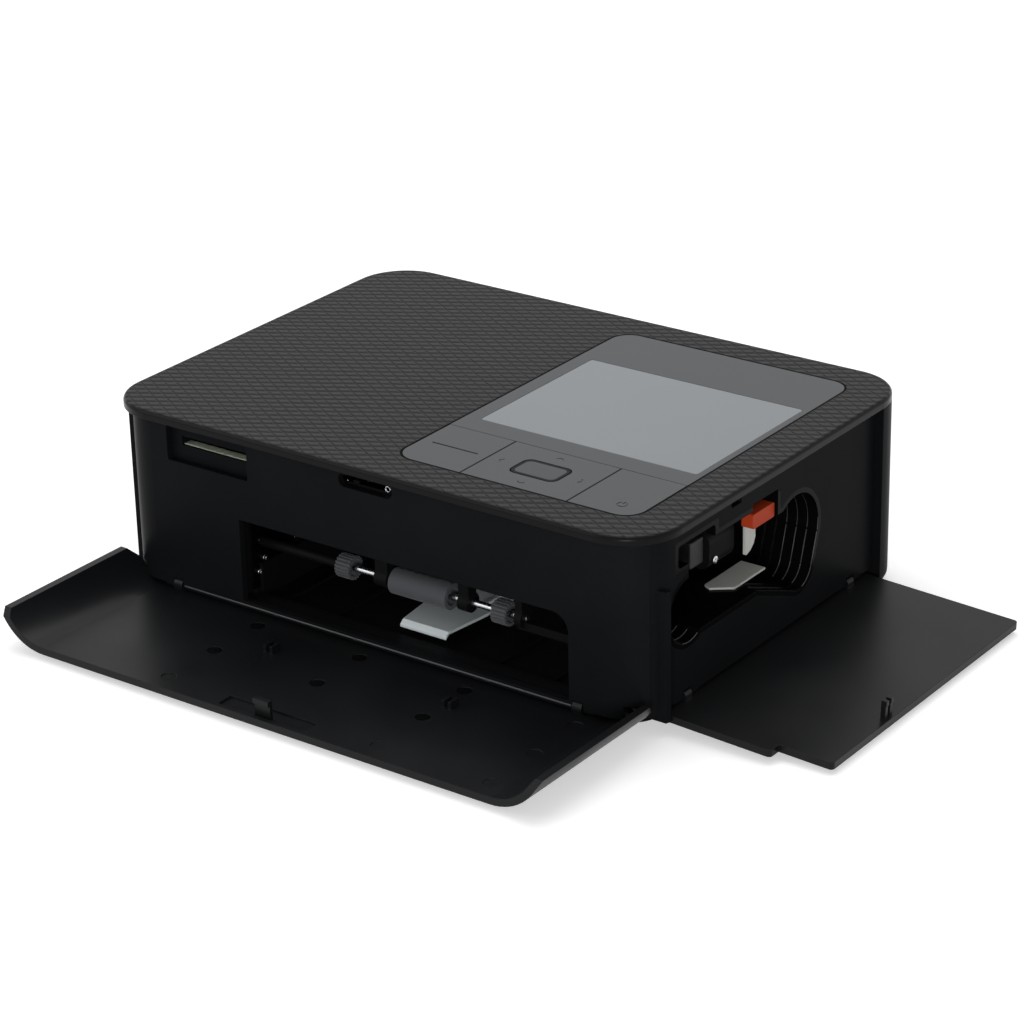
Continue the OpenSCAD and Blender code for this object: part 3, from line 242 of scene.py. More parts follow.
def embossed_abs():
    """Charcoal ABS pressed with rows of small lozenges: one side of each catches the light, and
    painted shade darkens the valleys between them.
    """
    mat, tree, shader, where = start("embossed_abs", "#272727", 0.46,
                                     **{"IOR": 1.5, "Specular IOR Level": 0.1})
    split = put(tree, "SeparateXYZ", {0: where})
    # the size of a lozenge was measured on the photograph
    sizes = bpy.context.scene.printer_sizes
    across = put(tree, "Math", {0: split.outputs[0], 1: sizes.lozenge_width}, operation="DIVIDE")
    along = put(tree, "Math", {0: split.outputs[1], 1: sizes.lozenge_depth}, operation="DIVIDE")
    rising = put(tree, "Math", {0: across, 1: along}, operation="ADD")
    rising = put(tree, "Math", {0: rising, 1: 0.5}, operation="PINGPONG")
    falling = put(tree, "Math", {0: across, 1: along}, operation="SUBTRACT")
    falling = put(tree, "Math", {0: falling, 1: 0.5}, operation="PINGPONG")
    # one side of each lozenge is steep and short, the other long and sloping
    steep = put(tree, "Math", {0: rising, 1: 2.6}, operation="MULTIPLY")
    pyramid = put(tree, "Math", {0: steep, 1: falling}, operation="MINIMUM")
    relief = put(tree, "MapRange", {"Value": pyramid, "From Min": 0.04, "From Max": 0.42})
    # the edge of the cover is a smooth black band, and a narrow dull groove round the panel is
    # painted black as its shadow
    on_top = put(tree, "MapRange", {"Value": split.outputs[2], "From Min": TOP_EDGE[0] * MM,
                                    "From Max": TOP_EDGE[1] * MM})
    outside_groove_shadow = put(tree, "MapRange", {"Value": from_core(tree, split, *PANEL),
                                    "From Min": PANEL_GROOVE_SHADOW[0] * MM,
                                    "From Max": PANEL_GROOVE_SHADOW[1] * MM})
    flat = put(tree, "Math", {0: on_top, 1: outside_groove_shadow}, operation="MULTIPLY")
    pressed = put(tree, "Math", {0: relief, 1: flat}, operation="MULTIPLY")
    fine = put(tree, "TexNoise", {"Vector": where, "Scale": cells(0.4), "Detail": 2.0})
    both = put(tree, "Math", {0: fine, 1: 0.05, 2: pressed}, operation="MULTIPLY_ADD")
    # painted shade: the valleys between the lozenges are coloured darker than their tops
    painted_light = put(tree, "Mix", {0: relief, 6: shade("top_valley_shade"), 7: shade("top_light")},
               data_type="RGBA")
    colour = put(tree, "Mix", {0: flat, 6: linear("#060607"), 7: painted_light.outputs[2]},
                 data_type="RGBA")
    smooth = put(tree, "MapRange", {"Value": on_top, "To Min": 0.24, "To Max": 0.48})
    rough = put(tree, "MapRange", {"Value": outside_groove_shadow, "To Min": 1.0, "To Max": smooth})
    surface(tree, shader, colour, rough, both, depth=0.35)
    return mat


def painted_highlight_abs():
    """Grey ABS of the beads: its pale colour is a painted highlight, which with its gloss draws a
    thin light line.
    """
    return moulded("grey_abs_painted_highlight", "#303134", "#3b3c3f", rough=0.3, grain=0.5, depth=0.01,
                   haze=0.06, **{"IOR": 1.5})


def sink_shade_abs():
    """Near-black ABS on the floors of the sinks: painted shade in the hollows, coarse and dull."""
    return moulded("near_black_abs_painted_shade", "#040405", "#08090a", rough=0.8, grain=0.5, depth=0.04,
                   haze=0.05, **{"IOR": 1.5, "Specular IOR Level": 0.02})


def grey_face(tree, where):
    """The panel's clouded grey and its blasted grain, which is drawn coarser so that it shows."""
    face, _ = clouded(tree, where, 25, 3.0, "panel_dark", "panel_light")
    fine = put(tree, "TexNoise", {"Vector": where, "Scale": cells(0.303), "Detail": 2.0})
    return face, fine


def panel_abs():
    """Grey ABS of the panel and keys, bead-blasted and matt; the slits and the menu bar are painted
    black, as painted shadow.
    """
    mat, tree, shader, where = start("blasted_grey_abs", "#2f3235", 0.4,
                                     **{"IOR": 1.5, "Specular IOR Level": 0.4})
    split = put(tree, "SeparateXYZ", {0: where})
    near = [from_core(tree, split, *line) for line in (LEFT_SLIT, RIGHT_SLIT, MENU_BAR)]
    line = put(tree, "Math", {0: near[0], 1: near[1]}, operation="MINIMUM")
    line = put(tree, "Math", {0: line, 1: near[2]}, operation="MINIMUM")
    # painted shadow: black along the slits and the menu bar, the bare face elsewhere
    bare = put(tree, "MapRange", {"Value": line, "From Min": SLIT_SHADOW[0] * MM,
                                  "From Max": SLIT_SHADOW[1] * MM})
    face, fine = grey_face(tree, where)
    colour = put(tree, "Mix", {0: bare, 6: linear("#050506"), 7: face.outputs[2]},
                 data_type="RGBA")
    rough = put(tree, "MapRange", {"Value": bare, "To Min": 0.85, "To Max": 0.4})
    surface(tree, shader, colour, rough, fine, depth=0.008, edge=0.04)
    return mat


def grey_abs_key_shadow():
    """Grey ABS of the centre key: the thick dark outline along its edge is painted shadow."""
    mat, tree, shader, where = start("grey_abs_painted_key_shadow", "#2f3235", 0.4,
                                     **{"IOR": 1.5, "Specular IOR Level": 0.3})
    split = put(tree, "SeparateXYZ", {0: where})
    # painted shadow: a black band along the edge of the key
    rim = put(tree, "MapRange", {"Value": from_core(tree, split, *CENTRE_KEY),
                                 "From Min": KEY_EDGE_SHADOW[0] * MM, "From Max": KEY_EDGE_SHADOW[1] * MM})
    face, fine = grey_face(tree, where)
    colour = put(tree, "Mix", {0: rim, 6: face.outputs[2], 7: linear("#060607")},
                 data_type="RGBA")
    rough = put(tree, "MapRange", {"Value": rim, "To Min": 0.4, "To Max": 0.85})
    surface(tree, shader, colour, rough, fine, depth=0.008, edge=0.04)
    return mat


def display_acrylic():
    """Hard-coated acrylic over a switched-off display: grey-blue with a soft shine."""
    mat, tree, shader, where = start("hard_coated_acrylic", "#686f74", 0.2,
                                     **{"IOR": 1.49, "Coat Weight": 0.25, "Coat Roughness": 0.08})
    colour, cloud = clouded(tree, where, 55.56, 2.0, "display_dark", "display_light")
    wiped = put(tree, "TexNoise", {"Vector": where, "Scale": cells(11.11), "Detail": 3.0})
    rough = put(tree, "MapRange", {"Value": wiped, "To Min": 0.14, "To Max": 0.28})
    surface(tree, shader, colour, rough, cloud, depth=0.01)
    return mat


def polished_abs():
    """Black ABS off a polished tool: it mirrors the light in narrow streaks."""
    return moulded("polished_moulded_abs", "#060607", "#0a0b0c", rough=0.16, grain=6.0,
                   depth=0.02, haze=0.05, **{"IOR": 1.52, "Specular IOR Level": 0.03})


def ground_rubber():
    """EPDM rubber ground to size: matt, with fine rings left by the wheel and a dusting of talc."""
    mat, tree, shader, where = start("ground_epdm_rubber", "rubber_light", 0.8,
                                     **{"IOR": 1.52, "Sheen Weight": 0.1})
    colour, dust = clouded(tree, where, 6.25, 4.0, "rubber_dark", "rubber_light")
    rough = put(tree, "MapRange", {"Value": dust, "To Min": 0.68, "To Max": 0.9})
    along = put(tree, "Mapping", {"Vector": where, "Scale": (1.0, 0.1, 0.1)})
    rings = put(tree, "TexNoise", {"Vector": along, "Scale": cells(1 / 3), "Detail": 2.0})
    surface(tree, shader, colour, rough, rings, depth=0.04)
    return mat


def metal(name, dark, light, rough, grain=(1.0, 1.0, 1.0), pitch=0.3, depth=0.006, spread=0.08):
    """A bare metal with lines along the smallest axis of grain, their pitch (mm) coarse to show."""
    mat, tree, shader, where = start(name, light, rough, **{"Metallic": 1.0})
    drawn = put(tree, "Mapping", {"Vector": where, "Scale": grain})
    lines = put(tree, "TexNoise", {"Vector": drawn, "Scale": cells(pitch), "Detail": 2.0})
    colour, _ = clouded(tree, where, 14.286, 4.0, dark, light)
    rough_map = put(tree, "MapRange", {"Value": lines, "From Min": 0.3, "From Max": 0.7,
                                       "To Min": rough - spread, "To Max": rough + spread})
    surface(tree, shader, colour, rough_map, lines, depth)
    return mat


def turned_steel():
    """Turned and ground steel shafts: bright, with very fine rings round them."""
    return metal("turned_steel", "#b4b6b9", "#cdcfd1", rough=0.24, grain=(1.0, 0.05, 0.05),
                 pitch=0.25)


def zinc_sheet():
    """Zinc-plated steel sheet: soft grey, cloudy, with a faint rolled grain."""
    return metal("zinc_plated_sheet_steel", "#8f9398", "#b3b6ba", rough=0.36,
                 grain=(1.0, 0.05, 1.0), pitch=0.4, depth=0.008)


def black_zinc():
    """Black-passivated zinc on sheet steel: near-black, cloudy, with a faint rolled grain."""
    return metal("black_passivated_sheet_steel", "#141517", "#1d1e20", rough=0.45,
                 grain=(1.0, 0.05, 1.0), pitch=0.4, depth=0.008)


def bright_sheet():
    """Bead-blasted stainless sheet of the lift plate: it scatters the light and looks frosted."""
    mat, tree, shader, where = start("blasted_stainless_sheet", "#dce4e6", 0.5,
                                     **{"Metallic": 0.2})
    fine = put(tree, "TexNoise", {"Vector": where, "Scale": cells(1 / 3), "Detail": 2.0})
    colour, _ = clouded(tree, where, 16.667, 3.0, "#ccd4d6", "#dae2e4")
    rough = put(tree, "MapRange", {"Value": fine, "To Min": 0.42, "To Max": 0.58})
    surface(tree, shader, colour, rough, fine, depth=0.01)
    return mat


def spring_steel():
    """Bright rolled stainless steel of the screws: the whitest metal in the printer."""
    return metal("bright_rolled_steel", "#c9cbcd", "#dfe0e2", rough=0.22,
                 grain=(0.1, 1.0, 1.0), pitch=0.3, depth=0.004, spread=0.06)


def drawn_aluminium():
    """Extruded aluminium: pale, with lines drawn along its length by the die."""
    return metal("extruded_aluminium", "#aeb2b6", "#c8cbce", rough=0.38,
                 grain=(0.03, 1.0, 1.0), pitch=0.45, depth=0.01)


def nickel_can():
    """Nickel-plated deep-drawn can of the motor: smooth and a little dark."""
    return metal("nickel_plated_can", "#77797b", "#8f9193", rough=0.3)


def acetal(name="moulded_acetal", dark="#c9c8c0", light="#d8d7d0"):
    """Moulded acetal: off-white, waxy, with soft highlights."""
    return moulded(name, dark, light, rough=0.4, grain=0.6, depth=0.008, haze=0.06,
                   **{"IOR": 1.48, "Subsurface Weight": 0.06, "Subsurface Scale": 1.0 * MM})


def orange_acetal():
    """Moulded acetal of the eject lever: orange-red and waxy, with little gloss."""
    return moulded("orange_moulded_acetal", "lever_dark", "lever_light", rough=0.42, grain=0.6,
                   depth=0.008, haze=0.06, **{"IOR": 1.48, "Specular IOR Level": 0.08})


def pale_acetal():
    """Moulded acetal of the latch blade and the strip in the bay: a waxy grey-white."""
    return acetal("pale_moulded_acetal", "#b9b9b4", "#c9c9c4")


def glazed_alumina():
    """Alumina head plate under a thin glass glaze: cream, with a wet gloss."""
    return moulded("glazed_alumina", "#cbc4ae", "#ddd8c6", rough=0.18, grain=4.0, depth=0.006,
                   haze=0.04, **{"IOR": 1.6})


def solder_mask():
    """Glass-fibre board under green solder mask: glossy, with the weave just showing."""
    mat, tree, shader, where = start("green_solder_mask", "#1d5a3c", 0.3, **{"IOR": 1.55})
    # the glass cloth is finer than this, and is drawn coarser so that it shows
    weave = put(tree, "TexBrick", {"Vector": where, "Scale": cells(5 / 3),
                                   "Color1": linear("#1b583a"), "Color2": linear("#20633f"),
                                   "Mortar": linear("#174a31")})
    grain = put(tree, "TexNoise", {"Vector": where, "Scale": cells(5), "Detail": 2.0})
    rough = put(tree, "MapRange", {"Value": grain, "To Min": 0.22, "To Max": 0.4})
    surface(tree, shader, weave, rough, grain, depth=0.01)
    return mat


def contact_board():
    """Pale lacquered board of the card contacts: cream-green, with a soft gloss."""
    return moulded("pale_lacquered_board", "#a9b09c", "#bcc2ae", rough=0.3, grain=2.0,
                   depth=0.004, haze=0.05, **{"IOR": 1.5})


def glass_nylon():
    """Black glass-filled nylon of the inner parts: dull, with a coarse fibre grain."""
    return moulded("glass_filled_nylon", "#0c0c0d", "#121314", rough=0.5, grain=0.6, depth=0.02,
                   haze=0.05, **{"Specular IOR Level": 0.05})


def grey_polycarbonate():
    """Moulded dark grey polycarbonate of the inner holders: even and dull."""
    return moulded("moulded_grey_polycarbonate", "#161718", "#1d1e1f", rough=0.5)


FINISHES = {}


def finish(recipe):
    """The material of a recipe, made once."""
    if recipe not in FINISHES:
        FINISHES[recipe] = recipe()
    return FINISHES[recipe]


def dress(recipe, *names):
    """Gives CAD nodes a finish."""
    for name in names:
        slots = NODES[name].data.materials
        slots.clear()
        slots.append(finish(recipe))


# Making and finishing pieces

def clear_selection():
    """Leaves nothing selected, since an operator acts on all that is."""
    if bpy.context.object and bpy.context.object.mode != "OBJECT":
        bpy.ops.object.mode_set(mode="OBJECT")
    bpy.ops.object.select_all(action="DESELECT")


def keep(name, obj, body, recipe):
    """Names a finished piece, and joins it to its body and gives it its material."""
    clear_selection()
    obj.select_set(True)
    bpy.context.view_layer.objects.active = obj
    bpy.ops.object.transform_apply(location=True, rotation=True, scale=True)
    obj.name = name
    obj.data.name = name
    obj.data.materials.clear()
    obj.data.materials.append(finish(recipe))
    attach(obj, body)


def block(low, high, bevel=0.1, segments=2):
    """A box between two corners (mm), with its edges bevelled."""
    clear_selection()
    middle = [(a + b) / 2 * MM for a, b in zip(low, high)]
    bpy.ops.mesh.primitive_cube_add(size=MM, location=middle)
    obj = bpy.context.object
    obj.scale = [b - a for a, b in zip(low, high)]
    bpy.ops.object.transform_apply(location=True, rotation=True, scale=True)
    bpy.ops.object.mode_set(mode="EDIT")
    bpy.ops.mesh.select_all(action="SELECT")
    bpy.ops.mesh.bevel(offset=bevel * MM, segments=segments, affect="EDGES")
    bpy.ops.object.mode_set(mode="OBJECT")
    return obj


def rod(start_at, length, radius, turn=(0.0, 0.0, 0.0), bevel=0.1, sides=32):
    """A round bar (mm) from its first end along Z turned by turn, with both rims bevelled."""
    clear_selection()
    turned = Euler(turn).to_matrix() @ Vector((0, 0, length / 2))
    middle = [(a + b) * MM for a, b in zip(start_at, turned)]
    bpy.ops.mesh.primitive_cylinder_add(vertices=sides, radius=radius * MM, depth=length * MM,
                                        rotation=turn, location=middle)
    obj = bpy.context.object
    bpy.ops.object.mode_set(mode="EDIT")
    bpy.ops.mesh.select_all(action="DESELECT")
    mesh = bmesh.from_edit_mesh(obj.data)
    # the rims are the short edges that lie level, before the bar is turned
    for edge in mesh.edges:
        level = abs(edge.verts[0].co.z - edge.verts[1].co.z) < LEVEL
        edge.select_set(level and edge.calc_length() < radius * MM)
    bmesh.update_edit_mesh(obj.data)
    bpy.ops.mesh.bevel(offset=bevel * MM, segments=2, affect="EDGES")
    bpy.ops.object.mode_set(mode="OBJECT")
    bpy.ops.object.shade_smooth_by_angle(angle=math.radians(40))
    return obj


def pan_screw(at, turn, radius, height):
    """A pan-head screw (mm) with a plain cross recess, its head standing on at."""
    obj = rod(at, height, radius, turn, height * 0.4)
    axis = Euler(turn).to_matrix() @ Vector((0, 0, 1))
    head_top = [(a + b * height) * MM for a, b in zip(at, axis)]
    cutters = []
    for spin in (0.0, math.pi / 2):
        bpy.ops.mesh.primitive_cube_add(size=MM, rotation=turn, location=head_top)
        cutter = bpy.context.object
        cutter.scale = (radius * RECESS[0], radius * RECESS[1], height * RECESS[2])
        cutter.rotation_euler.rotate_axis("Z", spin)
        cutters.append(cutter)
    for cutter in cutters:
        clear_selection()
        obj.select_set(True)
        bpy.context.view_layer.objects.active = obj
        bpy.ops.object.modifier_add(type="BOOLEAN")
        obj.modifiers[-1].operation = "DIFFERENCE"
        obj.modifiers[-1].object = cutter
        bpy.ops.object.modifier_apply(modifier=obj.modifiers[-1].name)
        clear_selection()
        cutter.select_set(True)
        bpy.ops.object.delete()
    return obj


def copies(obj, offsets):
    """Copies a piece by each offset (mm), each copy with its own mesh, and returns all of them."""
    made = [obj]
    for offset in offsets:
        clear_selection()
        obj.select_set(True)
        bpy.context.view_layer.objects.active = obj
        bpy.ops.object.duplicate()
        extra = bpy.context.object
        extra.location = [a + b * MM for a, b in zip(obj.location, offset)]
        made.append(extra)
    return made


def joined(pieces):
    """Joins pieces into the first one."""
    clear_selection()
    for obj in pieces:
        obj.select_set(True)
    bpy.context.view_layer.objects.active = pieces[0]
    bpy.ops.object.join()
    return bpy.context.object


def arc_bead(centre, x, radius, first, last, thick):
    """A thin bead (mm) along an arc in a plane across X, between two angles in degrees."""
    clear_selection()
    bpy.ops.mesh.primitive_torus_add(major_segments=96, minor_segments=8, major_radius=radius * MM,
                                     minor_radius=thick * MM, rotation=ALONG_X,
                                     location=(x * MM, centre[0] * MM, centre[1] * MM))
    obj = bpy.context.object
    bpy.ops.object.transform_apply(location=True, rotation=True, scale=True)
    bpy.ops.object.mode_set(mode="EDIT")
    bpy.ops.mesh.select_all(action="DESELECT")
    mesh = bmesh.from_edit_mesh(obj.data)
    for vert in mesh.verts:
        angle = math.degrees(math.atan2(vert.co.z - centre[1] * MM, vert.co.y - centre[0] * MM))
        vert.select_set(not first <= angle <= last)
    mesh.select_flush(True)
    bmesh.update_edit_mesh(obj.data)
    # the rest of the ring goes, and both open ends are closed
    bpy.ops.mesh.delete(type="VERT")
    bpy.ops.mesh.select_all(action="DESELECT")
    bpy.ops.mesh.select_non_manifold()
    bpy.ops.mesh.edge_face_add()
    bpy.ops.mesh.select_all(action="DESELECT")
    bpy.ops.mesh.select_non_manifold()
    bpy.ops.mesh.fill_holes(sides=0)
    bpy.ops.mesh.select_all(action="SELECT")
    bpy.ops.mesh.normals_make_consistent(inside=False)
    bpy.ops.object.mode_set(mode="OBJECT")
    bpy.ops.object.shade_smooth_by_angle(angle=math.radians(50))
    return obj


# Sizes and colours that a user would change

def tone(name, description, code):
    """A colour property with a hex value as its default."""
    return bpy.props.FloatVectorProperty(name=name, description=description, size=3, min=0, max=1,
                                         default=linear(code)[:3], subtype="COLOR")


def measure(name, description, size):
    """A length property with a size in mm as its default."""
    return bpy.props.FloatProperty(name=name, description=description, default=size * MM,
                                   min=0.01 * MM, precision=5, unit="LENGTH")


class ColourSettings(bpy.types.PropertyGroup):
    """Colours of the plastics and the rubber, each as two tones that it drifts between"""
    case_dark: tone("Case, dark", "Darker tone of the case and the front", "#101112")
    case_light: tone("Case, light", "Lighter tone of the case", "#17181a")
    # painted light: the front's paler tone
    front_painted_light: tone("Front, light", "Lighter tone of the front panel", "#18191b")
    cover_dark: tone("Covers, dark", "Darker tone of the two covers", "#0f1011")
    cover_light: tone("Covers, light", "Lighter tone of the two covers", "#151618")
    # painted shade: the tone of the valleys between the lozenges of the top
    top_valley_shade: tone("Top, dark", "Tone between the lozenges of the top", "#0a0a0b")
    top_light: tone("Top, light", "Tone of the lozenges of the top", "#292929")
    panel_dark: tone("Panel, dark", "Darker tone of the panel and keys", "#2b2e31")
    panel_light: tone("Panel, light", "Lighter tone of the panel and keys", "#303336")
    display_dark: tone("Display, dark", "Darker tone of the display", "#6b7277")
    display_light: tone("Display, light", "Lighter tone of the display", "#757c81")
    lever_dark: tone("Lever, dark", "Darker tone of the eject lever", "#a8381c")
    lever_light: tone("Lever, light", "Lighter tone of the eject lever", "#ba4424")
    rubber_dark: tone("Rubber, dark", "Darker tone of the rollers and feet", "#36373b")
    rubber_light: tone("Rubber, light", "Lighter tone of the rollers and feet", "#484a4e")


class SizeSettings(bpy.types.PropertyGroup):
    """Sizes of the top's pattern and of the small fittings"""
    lozenge_width: measure("Lozenge width", "Width of a lozenge of the top", 5.8)
    lozenge_depth: measure("Lozenge depth", "Depth of a lozenge, front to back", 3.5)
    ring_radius: measure("Ring radius", "Radius of the latch's ring", 0.75)
    ring_wire: measure("Ring wire", "Radius of the wire of the latch's ring", 0.24)
    bead_radius: measure("Hinge bead", "Radius of the bead along the front's foot", 0.3)
    sink_radius: measure("Sink radius", "Radius of the front cover's sinks", 2.05)
    sleeve_radius: measure("Sleeve radius", "Radius of the pickup shaft's sleeve", 1.4)
    frame_screw: measure("Frame screw", "Radius of a frame screw's head", 0.9)
    cap_screw: measure("Cap screw", "Radius of the print head's screw", 1.1)
    # the step beads are pale, as painted highlights along the steps' edges
    painted_light_edge: measure("Highlight edge", "Radius of the painted highlights of the steps", 0.13)
    painted_light_edge_rear: measure("Highlight edge, rear", "The same round the rear lobe", 0.09)


class StageSettings(bpy.types.PropertyGroup):
    """Size and colour of the floor, and power of the lamps"""
    floor_size: bpy.props.FloatProperty(name="Floor size", description="Side of the square floor",
                                        default=12.0, min=2.0, unit="LENGTH")
    floor_colour: tone("Floor colour", "Colour of the plain floor", "#eeeeee")
    top_lamp: bpy.props.FloatProperty(name="Top lamp", description="Power of the lamp overhead",
                                      default=13.5, min=0.0, unit="POWER")
    side_lamp: bpy.props.FloatProperty(name="Side lamp", description="Power of the front left lamp",
                                       default=4.0, min=0.0, unit="POWER")
    corner_lamp: bpy.props.FloatProperty(name="Corner lamp",
                                         description="Power of the low lamp at the right",
                                         default=2.2, min=0.0, unit="POWER")


# Operators

def background_rays(tree):
    """1 for the rays that see floor and world as a white background, 0 for those that light."""
    rays = put(tree, "LightPath")
    seen = put(tree, "Math", {0: rays.outputs["Is Camera Ray"], 1: rays.outputs["Is Glossy Ray"]},
               operation="MAXIMUM")
    return put(tree, "Math", {0: seen, 1: rays.outputs["Is Transmission Ray"]}, operation="MAXIMUM")


class StageOperator(bpy.types.Operator):
    """Sets the floor, the soft studio lamps and the camera of the photograph"""
    bl_idname = "printer.stage"
    bl_label = "Stage"

    def execute(self, context):
        stage = context.scene.printer_stage
        self.floor(context, stage)
        self.world(context)
        for name, at, size, power in (
            ("top_softbox", (-0.25, 0.35, 1.5), 1.4, stage.top_lamp),
            ("left_softbox", (-1.0, -1.1, 0.9), 1.0, stage.side_lamp),
            ("corner_lamp", (0.42, -0.66, 0.15), 0.2, stage.corner_lamp),
        ):
            self.lamp(context, name, Vector(at), size, power)
        self.camera(context)
        context.scene.view_settings.view_transform = "Standard"
        return {"FINISHED"}

    def floor(self, context, stage):
        """A plain paper floor that looks white and keeps the object's shadow."""
        clear_selection()
        bpy.ops.mesh.primitive_plane_add(size=stage.floor_size)
        floor = context.object
        floor.name = "floor"
        mat = bpy.data.materials.new("matt_paper_floor")
        mat.use_nodes = True
        tree = mat.node_tree
        tree.nodes.clear()
        seen = background_rays(tree)
        paper = put(tree, "BsdfDiffuse", {"Color": (*stage.floor_colour, 1.0)})
        lift = put(tree, "Math", {0: seen, 1: FLOOR_LIFT}, operation="MULTIPLY")
        glow = put(tree, "Emission", {"Strength": lift})
        both = put(tree, "AddShader", {0: paper, 1: glow})
        put(tree, "OutputMaterial", {"Surface": both})
        floor.data.materials.append(mat)

    def world(self, context):
        """A white backdrop, and a dim white room that lights the object."""
        world = bpy.data.worlds.new("studio")
        context.scene.world = world
        world.use_nodes = True
        tree = world.node_tree
        tree.nodes.clear()
        seen = background_rays(tree)
        room = put(tree, "Background", {"Color": linear("#ffffff"), "Strength": ROOM_LIGHT})
        backdrop = put(tree, "Background", {"Color": linear("#ffffff"), "Strength": 1.0})
        mix = put(tree, "MixShader", {0: seen, 1: room, 2: backdrop})
        put(tree, "OutputWorld", {"Surface": mix})

    def lamp(self, context, name, at, size, power):
        """A square soft lamp (metres, watts) that looks at the middle of the object."""
        bpy.ops.object.light_add(type="AREA", location=at)
        lamp = context.object
        lamp.name = name
        lamp.data.shape = "SQUARE"
        lamp.data.size = size
        lamp.data.energy = power
        lamp.rotation_euler = (Vector(LAMPS_AIM) - at).to_track_quat("-Z", "Y").to_euler()

    def camera(self, context):
        """The photograph's camera, from its angles, distance, focal length and aim."""
        azimuth, elevation, roll = (math.radians(v) for v in CAMERA_ANGLES)
        back = Vector((math.sin(azimuth) * math.cos(elevation),
                       -math.cos(azimuth) * math.cos(elevation), math.sin(elevation)))
        right = Vector((math.cos(azimuth), math.sin(azimuth), 0))
        up = back.cross(right)
        right, up = (right * math.cos(roll) + up * math.sin(roll),
                     up * math.cos(roll) - right * math.sin(roll))
        off_x, off_y = ((v - PHOTO_SIDE / 2) / FOCAL_PIXELS * CAMERA_DISTANCE for v in AIM_PIXEL)
        place = Vector(AIMED_AT) + back * CAMERA_DISTANCE - right * off_x + up * off_y
        data = bpy.data.cameras.new("photo_camera")
        data.sensor_width = SENSOR_WIDTH
        data.lens = FOCAL_PIXELS / PHOTO_SIDE * SENSOR_WIDTH
        data.clip_start = 0.01
        camera = bpy.data.objects.new("photo_camera", data)
        context.scene.collection.objects.link(camera)
        camera.matrix_world = Matrix((
            (right.x, up.x, back.x, place.x), (right.y, up.y, back.y, place.y),
            (right.z, up.z, back.z, place.z), (0, 0, 0, 1)))
        context.scene.camera = camera


class ShellOperator(bpy.types.Operator):
    """Finishes the case, the front panel, the base and the top"""
    bl_idname = "printer.shell"
    bl_label = "Shell"

    def execute(self, context):
        dress(satin_abs, "main_case", "base_tray")
        dress(front_abs_painted_light, "front_panel")
        dress(embossed_abs, "top_cover")
        dress(ground_rubber, "rubber_feet")
        dress(spring_steel, "case_screws")
        # a ring and a stop of the latch show in its slot, and the bar below carries them
        sizes = context.scene.printer_sizes
        clear_selection()
        bpy.ops.mesh.primitive_torus_add(major_segments=32, minor_segments=12,
                                         major_radius=sizes.ring_radius,
                                         minor_radius=sizes.ring_wire, rotation=TO_FRONT,
                                         location=[v * MM for v in LATCH_RING])
        ring = context.object
        bpy.ops.object.shade_smooth_by_angle(angle=math.radians(40))
        pin = rod(LATCH_PIN, length=0.5, radius=0.4, turn=TO_FRONT, bevel=0.15)
        keep("latch_ring", joined([ring, pin]), "printer_body", turned_steel)
        latch = [block(*LATCH_BAR, bevel=0.15), block(*LATCH_STOP, bevel=0.2)]
        keep("latch_bar", joined(latch), "printer_body", glass_nylon)
        return {"FINISHED"}


class CoversOperator(bpy.types.Operator):
    """Finishes the front cover and the side cover with their pins"""
    bl_idname = "printer.covers"
    bl_label = "Covers"

    def execute(self, context):
        dress(cover_abs, "front_cover", "side_cover")
        dress(turned_steel, "front_hinge_pins", "side_hinge_pins")
        # a glossy bead with small stops runs along the foot of the front panel, over the hinge; its
        # pale grey is a painted highlight
        sizes = context.scene.printer_sizes
        bead = rod(HINGE_BEAD, HINGE_BEAD_LENGTH, sizes.bead_radius / MM, ALONG_X)
        (left, *low), (right, *high) = HINGE_STOP
        stops = [block((x + left, *low), (x + right, *high)) for x in HINGE_STOPS_X]
        keep("hinge_highlight_bead", joined([bead, *stops]), "printer_body", painted_highlight_abs)
        # the floors of the cover's shallow round sinks are near-black discs of painted shade, dull
        first = rod(FIRST_SINK, SINK_HEIGHT, sizes.sink_radius / MM, bevel=0.04, sides=48)
        sinks = copies(first, [(x - FIRST_SINK[0], y - FIRST_SINK[1], 0) for x, y in OTHER_SINKS])
        keep("cover_sink_shade", joined(sinks), "front_cover", sink_shade_abs)
        return {"FINISHED"}


class PanelOperator(bpy.types.Operator):
    """Finishes the control panel, the display and the keys"""
    bl_idname = "printer.panel"
    bl_label = "Panel and keys"

    def execute(self, context):
        dress(panel_abs, "control_panel", "menu_back_key", "print_power_key", "navigation_pad")
        dress(grey_abs_key_shadow, "ok_button")
        dress(display_acrylic, "display_window")
        dress(zinc_sheet, "lcd_module")
        dress(grey_polycarbonate, "pad_gimbal")
        dress(solder_mask, "key_board")
        return {"FINISHED"}


class PaperPathOperator(bpy.types.Operator):
    """Finishes the paper guide, the lift plate and the rollers"""
    bl_idname = "printer.paper_path"
    bl_label = "Paper path"

    def execute(self, context):
        dress(glass_nylon, "paper_guide", "shaft_bearings", "pinch_holder")
        dress(bright_sheet, "lift_plate")
        dress(turned_steel, "pickup_shaft", "platen_shaft", "feed_roller", "pinch_roller")
        dress(ground_rubber, "pickup_rollers", "platen_roller")
        # a black sleeve covers the pickup shaft left of its first roller
        sizes = context.scene.printer_sizes
        sleeve = rod(SHAFT_SLEEVE, SHAFT_SLEEVE_LENGTH, sizes.sleeve_radius / MM, ALONG_X,
                     bevel=0.15)
        keep("shaft_sleeve", sleeve, "pickup_drive", glass_nylon)
        screws = [pan_screw(at, ALONG_X, sizes.frame_screw / MM, SCREW_HEIGHT)
                  for at in FRAME_SCREWS]
        keep("frame_screws", joined(screws), "printer_body", spring_steel)
        return {"FINISHED"}


